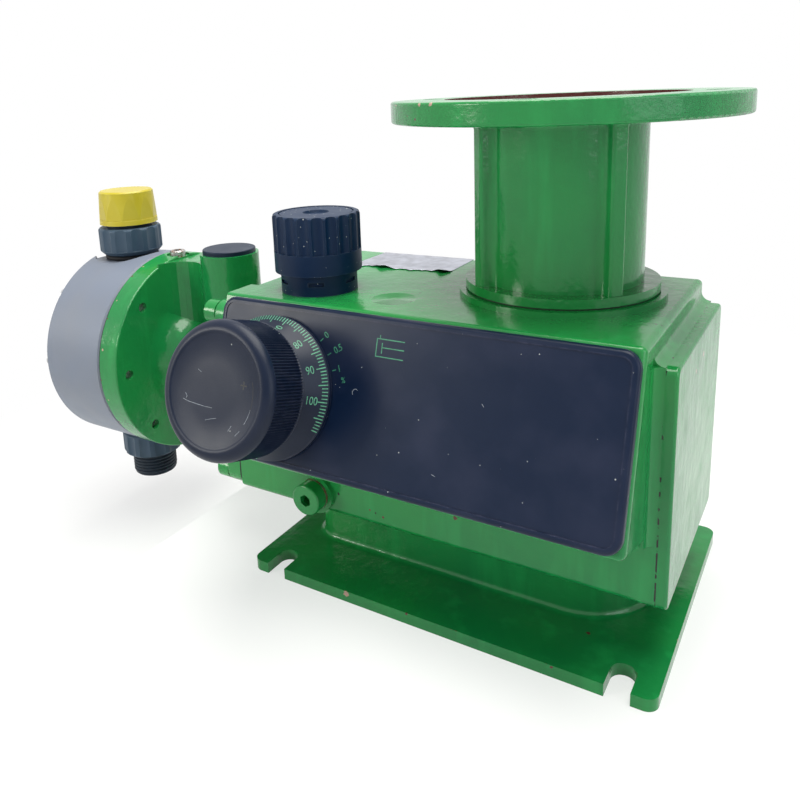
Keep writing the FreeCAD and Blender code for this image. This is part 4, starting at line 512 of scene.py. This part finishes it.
def turned_knob(name, material):
    """Rings of points round the knob's axis, with every second one cut in for the knurl."""
    rings = [(r, r, h) for r, h in KNOB_PROFILE]
    rings += [(KNOB_RADIUS, KNURL_ROOT, h) for h in (KNURL_LOW, KNURL_HIGH)]
    rings += [(r, r, h) for r, h in KNOB_CROWN]
    around = KNURL_COUNT * 2
    points, faces = [], []
    for crest, valley, out in rings:
        for k in range(around):
            points.append(on_knob(valley if k % 2 else crest, math.tau * k / around, out))
    for ring in range(len(rings) - 1):
        for k in range(around):
            ahead = (k + 1) % around
            faces.append((ring * around + k, ring * around + ahead,
                          (ring + 1) * around + ahead, (ring + 1) * around + k))
    last = (len(rings) - 1) * around
    faces.append([last + k for k in range(around)])
    first_inner = len(points)
    for out in (DISC_TOP, HOLE_TOP):
        for k in range(around):
            points.append(on_knob(SPINDLE_HOLE, math.tau * k / around, out))
    for k in range(around):
        ahead = (k + 1) % around
        faces.append((first_inner + k, first_inner + around + k,
                      first_inner + around + ahead, first_inner + ahead))
    faces.append([first_inner + around + k for k in reversed(range(around))])
    shape = bmesh.new()
    corners = [shape.verts.new(p) for p in points]
    for loop in faces:
        shape.faces.new([corners[k] for k in loop])
    bmesh.ops.remove_doubles(shape, verts=shape.verts[:], dist=0.000001)
    bmesh.ops.recalc_face_normals(shape, faces=shape.faces[:])
    mesh = bpy.data.meshes.new(name)
    shape.to_mesh(mesh)
    shape.free()
    mesh.materials.append(material)
    for face in mesh.polygons:
        face.use_smooth = len(face.vertices) == 4
    mesh.set_sharp_from_angle(angle=math.radians(35))
    made = bpy.data.objects.new(name, mesh)
    bpy.context.scene.collection.objects.link(made)
    return made


knob_black = satin_plastic("knob_black", (0.003, 0.008, 0.024, 1), (0.04, 0.045, 0.07, 1), 0.34,
                           dust=0.35, grain=0.00003)
finish_nodes(knob_black, "dial_disc")
knob = turned_knob("stroke_knob_turned", knob_black)
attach(knob, "stroke_adjuster")
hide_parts("stroke_knob")

# Scale on the knob's cone: a tick for each unit, longer ones at the fives and
# tens, and a number at each ten, in mint-green ink over three quarters of a turn.
dial_ink = print_ink("dial_mint_print", (0.085, 0.33, 0.2, 1))
CONE_LEAN = math.atan2(CONE_LOW[0] - CONE_HIGH[0], CONE_HIGH[1] - CONE_LOW[1])
DIAL_UNIT, DIAL_HUNDRED, LAST_TICK = 2.7, -2.4, 109
TICK_START, TICK_SHORT, TICK_LONG, TICK_WIDTH = 0.2, 2.5, 4.1, 0.5
NUMBER_UP, NUMBER_SIZE, NUMBER_NARROW = 7.4, 5.4, 0.74
INK_THICK = 0.04


def mark_angle(mark):
    """Degrees round the knob at which a mark of the scale stands."""
    return DIAL_HUNDRED + (100 - mark) * DIAL_UNIT


def on_cone(angle):
    """Axes on the cone at an angle: X down the slope, Y round it, Z out of it."""
    turn = math.radians(angle)
    outward = Vector((math.cos(turn), math.sin(turn), 0))
    axis = Vector((0, 0, 1))
    down = outward * math.sin(CONE_LEAN) - axis * math.cos(CONE_LEAN)
    face = outward * math.cos(CONE_LEAN) + axis * math.sin(CONE_LEAN)
    round_it = face.cross(down)
    at = outward * CONE_LOW[0] * MM + axis * CONE_LOW[1] * MM
    local = Matrix(((down.x, round_it.x, face.x, at.x), (down.y, round_it.y, face.y, at.y),
                    (down.z, round_it.z, face.z, at.z), (0, 0, 0, 1)))
    return panel_axes_at(KNOB_X / MM, KNOB_SLOPE / MM) @ local


points, faces = [], []
for mark in range(LAST_TICK + 1):
    place = on_cone(mark_angle(mark))
    length = TICK_LONG if mark % 5 == 0 else TICK_SHORT
    bar_points, bar_faces = stroke_bars(
        [((-length, 0), (-TICK_START, 0))], TICK_WIDTH, INK_THICK,
        lambda x, y, lift: place @ Vector((x * MM, y * MM, lift * MM)))
    faces += [[len(points) + k for k in face] for face in bar_faces]
    points += bar_points
mesh_object("dial_ticks", points, faces, dial_ink, "stroke_adjuster")
for mark in range(0, 101, 10):
    place = on_cone(mark_angle(mark)) @ Matrix.Translation((-NUMBER_UP * MM, 0, 0))
    numeral(f"dial_number_{mark}", str(mark), NUMBER_SIZE, place, dial_ink,
                    "stroke_adjuster", NUMBER_NARROW)

# Marks on the knob's face: a small plus cut beside the rim and a long arc where the face has been
# rubbed, the plus and most of the arc drawn near-black as painted shade in the cuts, and thin
# scratches across it.
RUB_RADIUS, CUT_THICK = 22.4, 0.02
PLUS_WIDTH, RUB_WIDTH, THIN_WIDTH = 0.55, 0.22, 0.16
# Near-black ink: painted shade inside the cut marks.
painted_cut_shade = print_ink("painted_cut_shade", (0.0008, 0.0015, 0.003, 1))


def face_point(x, y, lift):
    """A point of the knob's face, from its middle, in world metres."""
    return on_panel(KNOB_X / MM + x, KNOB_SLOPE / MM - y, KNOB_FACE + lift)


plus = [((15.2, 4.9), (18.2, 4.9)), ((16.7, 3.4), (16.7, 6.4))]
points, faces = stroke_bars(plus, PLUS_WIDTH, CUT_THICK, face_point)
mesh_object("knob_plus", points, faces, painted_cut_shade, "stroke_adjuster")
arc = [(RUB_RADIUS * math.cos(math.radians(turn)), RUB_RADIUS * math.sin(math.radians(turn)))
       for turn in range(-30, 21, 3)]
points, faces = stroke_bars(zip(arc[5:], arc[6:]), RUB_WIDTH, CUT_THICK, face_point)
mesh_object("knob_arc_painted_shade", points, faces, painted_cut_shade, "stroke_adjuster")
thin = [(-17.1, -6.2), (-13.5, -6.9), (-9.4, -7.2), (-4.5, -7.5), (0.4, -7.5)]
strokes = list(zip(arc[:6], arc[1:7])) + list(zip(thin, thin[1:])) + [
    ((-16.1, -3.4), (-14.9, -4.8)), ((-14.9, -4.8), (-15.4, -5.6)), ((-10.2, 8.0), (-8.4, 7.2)),
    ((-2.5, -13.3), (0.6, -12.3)), ((0.9, -12.2), (3.5, -11.5)), ((11.1, -15.7), (12.6, -13.2)),
    ((15.2, -17.0), (17.4, -14.6))]
points, faces = stroke_bars(strokes, THIN_WIDTH, CUT_THICK, face_point)
mesh_object("knob_scratches", points, faces, pale_scratch, "stroke_adjuster")

# Motor adaptor: flange, neck and ribs in one iron casting, bolted on a dark fibre
# gasket. It wears the same enamel, with only primer in the motor's recess and
# down the bore, that primer darkened as painted shade of the recess, and its flange's rim is chipped
# from handling.
MOTOR_AXIS = (38.5, 4.1)
FLANGE_RADIUS = 79.6
RECESS_RADIUS, RECESS_FLOOR, NECK_BORE = 55.4, 242.6, 31.4


def unpainted_bore(tree):
    """1 in the spigot recess and down the neck's bore, where only primer lies."""
    place = add(tree, "TexCoord")
    off = add(tree, "VectorMath", operation="SUBTRACT")
    off.inputs[1].default_value = [c * MM for c in MOTOR_AXIS] + [0]
    tree.links.new(place.outputs["Object"], off.inputs[0])
    flat = add(tree, "VectorMath", operation="MULTIPLY")
    flat.inputs[1].default_value = (1, 1, 0)
    tree.links.new(off.outputs["Vector"], flat.inputs[0])
    reach = add(tree, "VectorMath", operation="LENGTH")
    tree.links.new(flat.outputs["Vector"], reach.inputs[0])
    parts = add(tree, "SeparateXYZ")
    tree.links.new(place.outputs["Object"], parts.inputs[0])
    high = steps(tree, parts.outputs["Z"], RECESS_FLOOR * MM, (RECESS_FLOOR + 0.2) * MM)
    wide = steps(tree, reach.outputs["Value"], (RECESS_RADIUS + 0.1) * MM, RECESS_RADIUS * MM)
    tight = steps(tree, reach.outputs["Value"], (NECK_BORE + 0.1) * MM, NECK_BORE * MM)
    return greatest(tree, multiply(tree, high, wide), tight)


def rim_chips(count, start, span, rise, radius, colour):
    """Chips spaced unevenly along the flange's rim, seen from above in degrees."""
    chips = []
    for k in range(count):
        turn = math.radians(start + span * (k + 0.35 * math.sin(k * 5.1)) / count)
        at = (MOTOR_AXIS[0] + FLANGE_RADIUS * math.cos(turn),
              MOTOR_AXIS[1] + FLANGE_RADIUS * math.sin(turn), rise + 1.1 * math.sin(k * 3.7))
        chips.append((at, radius * (0.7 + 0.5 * math.sin(k * 2.3) ** 2), colour))
    return tuple(chips)


adaptor_green = green_enamel("adaptor_green_enamel", chips=0.9, peel=0.00011, runs=0.0003,
                             bare=(unpainted_bore, PRIMER_WITH_PAINTED_SHADE),
                             spots=rim_chips(7, 196, 62, 246.6, 0.9, PRIMER_PALE)
                             + rim_chips(6, 205, 40, 240.5, 0.7, PRIMER_WITH_PAINTED_SHADE))
finish_nodes(adaptor_green, "motor_adaptor")
dark_sheet = satin_plastic("gasket_sheet", (0.02, 0.035, 0.025, 1), (0.05, 0.07, 0.05, 1), 0.7)
finish_nodes(dark_sheet, "adaptor_gasket", "carrier_gasket")

# Foil plate on the roof behind the filler: a bare silvery sheet, stuck down at the
# back, torn along its front edge and lifted there in two places. A share runs
# from 0 at the left end to 1 at the right one.
FOIL_CORNERS = ((-89.0, 13.0), (-28.0, 15.8), (-29.0, 52.6), (-88.5, 51.0))
foil = metal("foil_sheet", (0.52, 0.54, 0.62, 1), 0.3, grain=300, depth=0.00012)
ACROSS, ALONG = 60, 24
FOIL_LIES, FOIL_THICK = 0.16, 0.08
TONGUE_AT, TONGUE_HALF, TONGUE_REACH = 0.47, 0.05, 3.4
GAP_AT, GAP_HALF, GAP_REACH = 0.86, 0.06, 2.6
LEFT_CURL_AT, LEFT_CURL_HALF = 0.34, 0.13
RIGHT_CURL_AT, RIGHT_CURL_HALF = 0.93, 0.09


def peak(share, middle, half):
    """1 at the middle of a stretch, falling to 0 at its ends."""
    return max(0, 1 - abs(share - middle) / half)


points, faces = [], []
for row in range(ALONG + 1):
    back_share = row / ALONG
    for column in range(ACROSS + 1):
        share = column / ACROSS
        front = Vector(FOIL_CORNERS[0]).lerp(Vector(FOIL_CORNERS[1]), share)
        rear = Vector(FOIL_CORNERS[3]).lerp(Vector(FOIL_CORNERS[2]), share)
        torn = 1.1 * math.sin(share * 23) + 0.7 * math.sin(share * 61 + 1)
        torn += TONGUE_REACH * peak(share, TONGUE_AT, TONGUE_HALF)
        torn -= GAP_REACH * peak(share, GAP_AT, GAP_HALF)
        at = front.lerp(rear, back_share) - Vector((0, torn * (1 - back_share) ** 3))
        curl = 0.35 + 1.5 * (peak(share, LEFT_CURL_AT, LEFT_CURL_HALF)
                             + 1.2 * peak(share, RIGHT_CURL_AT, RIGHT_CURL_HALF))
        lift = curl * max(0, 1 - back_share * 4.5) ** 2 + 0.05 * math.sin(share * 31) * back_share
        points.append(Vector((at.x, at.y, ROOF + FOIL_LIES + lift)) * MM)
for row in range(ALONG):
    for column in range(ACROSS):
        k = row * (ACROSS + 1) + column
        faces.append((k, k + 1, k + ACROSS + 2, k + ACROSS + 1))
foil_sheet = mesh_object("roof_foil", points, faces, foil, "pump_frame", smooth=True)
thicken = foil_sheet.modifiers.new("thickness", "SOLIDIFY")
thicken.thickness = FOIL_THICK * MM
thicken.offset = -1

# Filler neck and vent cap: black moulded plastic with deep flutes for the hand,
# matt from age and the dustiest parts of the pump.
cap_black = satin_plastic("vent_cap_black", (0.002, 0.014, 0.046, 1), (0.04, 0.06, 0.1, 1), 0.42,
                          dust=4.5, gloss=0.16)
finish_nodes(cap_black, "filler_neck", "filler_cap")

# Oil drain plug, painted over with the housing, on a steel washer whose edge
# rusts. The rubber of the seals inside is set here as well.
plug_green = green_enamel("plug_green_enamel", chips=1.2, peel=0.00004, runs=0.00002)
finish_nodes(plug_green, "drain_plug")
finish_nodes(metal("rusty_washer", (0.3, 0.27, 0.24, 1), 0.5, rust=1.0), "drain_washer")
rubber = satin_plastic("black_rubber", (0.012, 0.012, 0.014, 1), (0.04, 0.04, 0.045, 1), 0.6)
finish_nodes(rubber, "plunger_seal", "worm_seal", "discharge_oring",
             "suction_oring", "diaphragm")

# Pump carrier with its four screws: the same enamel over casting and heads,
# chipped along the round flange's rim. One steel screw sits in that rim bare.
# The chips stand at angles from the top of the rim towards the front.
PUMP_RISE, PUMP_FLANGE_X, PUMP_FLANGE_RADIUS = 88.7, -224.5, 64.6
carrier_spots = []
for k, angle in enumerate((8, 21, 30, 47, 58, 75, 92, 104, 121, 139)):
    turn = math.radians(angle)
    at = (PUMP_FLANGE_X + 0.9 * math.sin(k * 2.9), -PUMP_FLANGE_RADIUS * math.sin(turn),
          PUMP_RISE + PUMP_FLANGE_RADIUS * math.cos(turn))
    carrier_spots.append((at, 0.55 + 0.3 * math.sin(k) ** 2, PRIMER_PALE if k % 2 else PRIMER_WITH_PAINTED_SHADE))
carrier_green = green_enamel("carrier_green_enamel", chips=0.9, peel=0.00011, runs=0.0002,
                             spots=carrier_spots)
finish_nodes(carrier_green, "pump_carrier", "carrier_screws")
finish_nodes(metal("rusty_screw", (0.5, 0.5, 0.5, 1), 0.4, rust=0.6), "flange_screw")
plug_black = satin_plastic("tube_plug_black", (0.004, 0.012, 0.03, 1), (0.05, 0.06, 0.09, 1), 0.4,
                           dust=1.0, gloss=0.16)
finish_nodes(plug_black, "tube_plug")

# Dosing head: turned from grey PVC bar and held by six bolts, with fine lathe
# marks round its side.
HEAD_GREY = (0.165, 0.19, 0.25, 1)
head_grey = satin_plastic("head_grey_pvc", HEAD_GREY, (0.2, 0.2, 0.2, 1), 0.42, gloss=0.35,
                          lathe=(1, 0.02, 0.02))
finish_nodes(head_grey, "dosing_head")

# Valves: dark moulded tubes and ribbed slate-grey union nuts, with a yellow
# shipping cap on the discharge side and a bare threaded nipple on the suction side.
nut_slate = satin_plastic("nut_slate_pvc", (0.034, 0.062, 0.1, 1), (0.12, 0.16, 0.2, 1), 0.38)
finish_nodes(nut_slate, "discharge_nut", "suction_nut")
valve_dark = satin_plastic("valve_dark_pvc", (0.007, 0.015, 0.028, 1), (0.05, 0.07, 0.09, 1), 0.4)
finish_nodes(valve_dark, "discharge_valve", "suction_valve", "discharge_seat", "suction_seat")
cap_yellow = satin_plastic("shipping_cap_yellow", (0.43, 0.35, 0.012, 1), (0.62, 0.55, 0.1, 1), 0.33,
                           gloss=0.4)
finish_nodes(cap_yellow, "transport_cap")
ceramic = satin_plastic("valve_ball_ceramic", (0.75, 0.76, 0.78, 1), (0.85, 0.85, 0.86, 1), 0.12,
                        gloss=0.5)
finish_nodes(ceramic, "discharge_ball", "suction_ball")

# Thread of the suction nipple: one ridge that winds up the tube, cut with the
# tube from the same dark bar, and running out to nothing at both ends.
VALVE_X = -260.0
THREAD_PITCH, THREAD_ROOT, THREAD_CREST = 2.3, 14.45, 15.1
THREAD_LOW, THREAD_HIGH = -8.3, 5.9
RIDGE_FOOT, RIDGE_TOP, RIDGE_PROUD = 0.85, 0.2, 0.02
THREAD_STEPS, RUN_OUT = 48, 12
last_step = int((THREAD_HIGH - THREAD_LOW) / THREAD_PITCH * THREAD_STEPS)
points, faces = [], []
for k in range(last_step + 1):
    turn = math.tau * k / THREAD_STEPS
    rise = THREAD_LOW + THREAD_PITCH * k / THREAD_STEPS
    ramp = min(1.0, k / RUN_OUT, (last_step - k) / RUN_OUT)
    crest = THREAD_ROOT + RIDGE_PROUD + (THREAD_CREST - THREAD_ROOT) * ramp
    for radius, lift in ((THREAD_ROOT, -RIDGE_FOOT), (crest, -RIDGE_TOP), (crest, RIDGE_TOP),
                         (THREAD_ROOT, RIDGE_FOOT)):
        points.append(Vector((VALVE_X + radius * math.cos(turn), radius * math.sin(turn),
                              rise + lift)) * MM)
    if k:
        last, this = (k - 1) * 4, k * 4
        faces += [(last + i, last + (i + 1) % 4, this + (i + 1) % 4, this + i) for i in range(4)]
faces += [(3, 2, 1, 0), tuple(len(points) - 4 + i for i in range(4))]
mesh_object("suction_thread", points, faces, valve_dark, "pump_frame", smooth=True)

# Drive: ground steel shafts and worm, a bronze wheel and bronze bushes, and the
# return spring of spring steel. All of it runs in oil inside the housing.
steel = metal("ground_steel", (0.56, 0.56, 0.57, 1), 0.24)
finish_nodes(steel, "drive_coupling", "worm_shaft", "bearing_outer_rings", "worm_inner_rings",
             "wheel_inner_rings", "wheel_shaft", "eccentric", "eccentric_ring", "plunger",
             "stop_collar", "spring_seat", "diaphragm_core", "stroke_spindle", "stroke_cam")
bronze = metal("bearing_bronze", (0.6, 0.36, 0.15, 1), 0.3)
finish_nodes(bronze, "worm_wheel", "plunger_guides", "spindle_bush")
finish_nodes(metal("spring_steel", (0.22, 0.22, 0.23, 1), 0.35), "return_spring")

# Floor, lamps and camera. The pump stands on a pale board that ends short of
# the dosing head, because the suction nipple reaches below the base plate.
# Both are white to the eye and fade to plain white away from the pump's shadow.
SHADOW_NEAR, SHADOW_FAR, WHITE_NEAR = 0.2, 0.5, 0.62
FLOOR_LOW, FLOOR_TOP, FLOOR_REACH = -0.04, -0.03, 6.0
FILL_LIGHT = 0.2


def seen_directly(tree):
    """1 for what the camera sees, also in a mirror or through glass."""
    path = add(tree, "LightPath")
    return greatest(tree, path.outputs["Is Camera Ray"], path.outputs["Is Glossy Ray"],
                    path.outputs["Is Transmission Ray"])


def pale_surface(name, colour):
    """Pale matt sheet that keeps a soft shadow near the pump."""
    material, tree, shader = new_material(name)
    shader.inputs["Base Color"].default_value = colour
    shader.inputs["Roughness"].default_value = 0.8
    place = add(tree, "TexCoord")
    away = add(tree, "VectorMath", operation="LENGTH")
    tree.links.new(place.outputs["Object"], away.inputs[0])
    fade = add(tree, "MapRange")
    fade.inputs["From Min"].default_value = SHADOW_NEAR
    fade.inputs["From Max"].default_value = SHADOW_FAR
    fade.inputs["To Min"].default_value = WHITE_NEAR
    fade.inputs["To Max"].default_value = 1.0
    tree.links.new(away.outputs["Value"], fade.inputs["Value"])
    white = add(tree, "Emission")
    joined = add(tree, "MixShader")
    tree.links.new(multiply(tree, seen_directly(tree), fade.outputs["Result"]), joined.inputs[0])
    tree.links.new(shader.outputs[0], joined.inputs[1])
    tree.links.new(white.outputs[0], joined.inputs[2])
    end = next(n for n in tree.nodes if n.type == "OUTPUT_MATERIAL")
    tree.links.new(joined.outputs[0], end.inputs["Surface"])
    return material


pale = pale_surface("pale_floor", (0.92, 0.93, 0.93, 1))


def slab(name, low, high, material):
    """A flat box, as part of the stage."""
    shape = bmesh.new()
    bmesh.ops.create_cube(shape, size=1.0)
    for corner in shape.verts:
        corner.co = Vector([lo if c < 0 else hi for c, lo, hi in zip(corner.co, low, high)])
    mesh = bpy.data.meshes.new(name)
    shape.to_mesh(mesh)
    shape.free()
    mesh.materials.append(material)
    made = bpy.data.objects.new(name, mesh)
    bpy.context.scene.collection.objects.link(made)
    return made


slab("floor", (-FLOOR_REACH, -FLOOR_REACH, FLOOR_LOW), (FLOOR_REACH, FLOOR_REACH, FLOOR_TOP), pale)
slab("board", (-0.17, -0.5, FLOOR_TOP), (0.8, 0.6, 0.0), pale)


def lamp(name, size, power, at, look, colour=(1, 1, 1)):
    """A soft square lamp at a point, turned to another."""
    light = bpy.data.lights.new(name, "AREA")
    light.shape = "RECTANGLE"
    light.size, light.size_y = size
    light.energy = power
    light.color = colour
    made = bpy.data.objects.new(name, light)
    made.location = at
    made.rotation_euler = (Vector(look) - Vector(at)).to_track_quat("-Z", "Y").to_euler()
    bpy.context.scene.collection.objects.link(made)
    return made


MIDDLE = (-0.06, 0, 0.11)
lamp("overhead_window", (1.2, 0.9), 27, (0.05, 0.05, 1.25), MIDDLE, (1, 0.99, 0.93))
lamp("front_left_window", (0.38, 0.38), 6.5, (-0.85, -0.95, 0.5), MIDDLE, (1, 0.98, 0.9))
lamp("right_window", (0.8, 0.9), 5, (1.2, -0.4, 0.6), MIDDLE, (0.9, 0.97, 1))

world = bpy.data.worlds.new("studio")
bpy.context.scene.world = world
world.use_nodes = True
tree = world.node_tree
background = tree.nodes["Background"]
background.inputs["Color"].default_value = (1, 1, 1, 1)
strength = add(tree, "MapRange")
strength.inputs["To Min"].default_value = FILL_LIGHT
strength.inputs["To Max"].default_value = 1.0
tree.links.new(seen_directly(tree), strength.inputs["Value"])
tree.links.new(strength.outputs["Result"], background.inputs["Strength"])

CAMERA_AT = Vector((156.1, -358.1, 253.4)) * MM
AZIMUTH, ELEVATION, ROLL = math.radians(32.7), math.radians(13.2), math.radians(-2.5)
FOCAL_PIXELS, FRAME_PIXELS = 780.2, 800.0
CENTRE_X, CENTRE_Y = 361.9, 272.4
SENSOR = 36.0
back = Vector((math.sin(AZIMUTH) * math.cos(ELEVATION), -math.cos(AZIMUTH) * math.cos(ELEVATION),
               math.sin(ELEVATION)))
level_right = Vector((math.cos(AZIMUTH), math.sin(AZIMUTH), 0))
level_up = back.cross(level_right)
right = level_right * math.cos(ROLL) + level_up * math.sin(ROLL)
up = level_up * math.cos(ROLL) - level_right * math.sin(ROLL)
view = bpy.data.cameras.new("camera")
view.sensor_width = SENSOR
view.sensor_fit = "HORIZONTAL"
view.lens = FOCAL_PIXELS / FRAME_PIXELS * SENSOR
view.shift_x = (FRAME_PIXELS / 2 - CENTRE_X) / FRAME_PIXELS
view.shift_y = (CENTRE_Y - FRAME_PIXELS / 2) / FRAME_PIXELS
view.clip_start = 0.02
camera = bpy.data.objects.new("camera", view)
camera.matrix_world = Matrix((
    (right.x, up.x, back.x, CAMERA_AT.x), (right.y, up.y, back.y, CAMERA_AT.y),
    (right.z, up.z, back.z, CAMERA_AT.z), (0, 0, 0, 1)))
bpy.context.scene.collection.objects.link(camera)
bpy.context.scene.camera = camera
bpy.context.scene.view_settings.view_transform = "Standard"
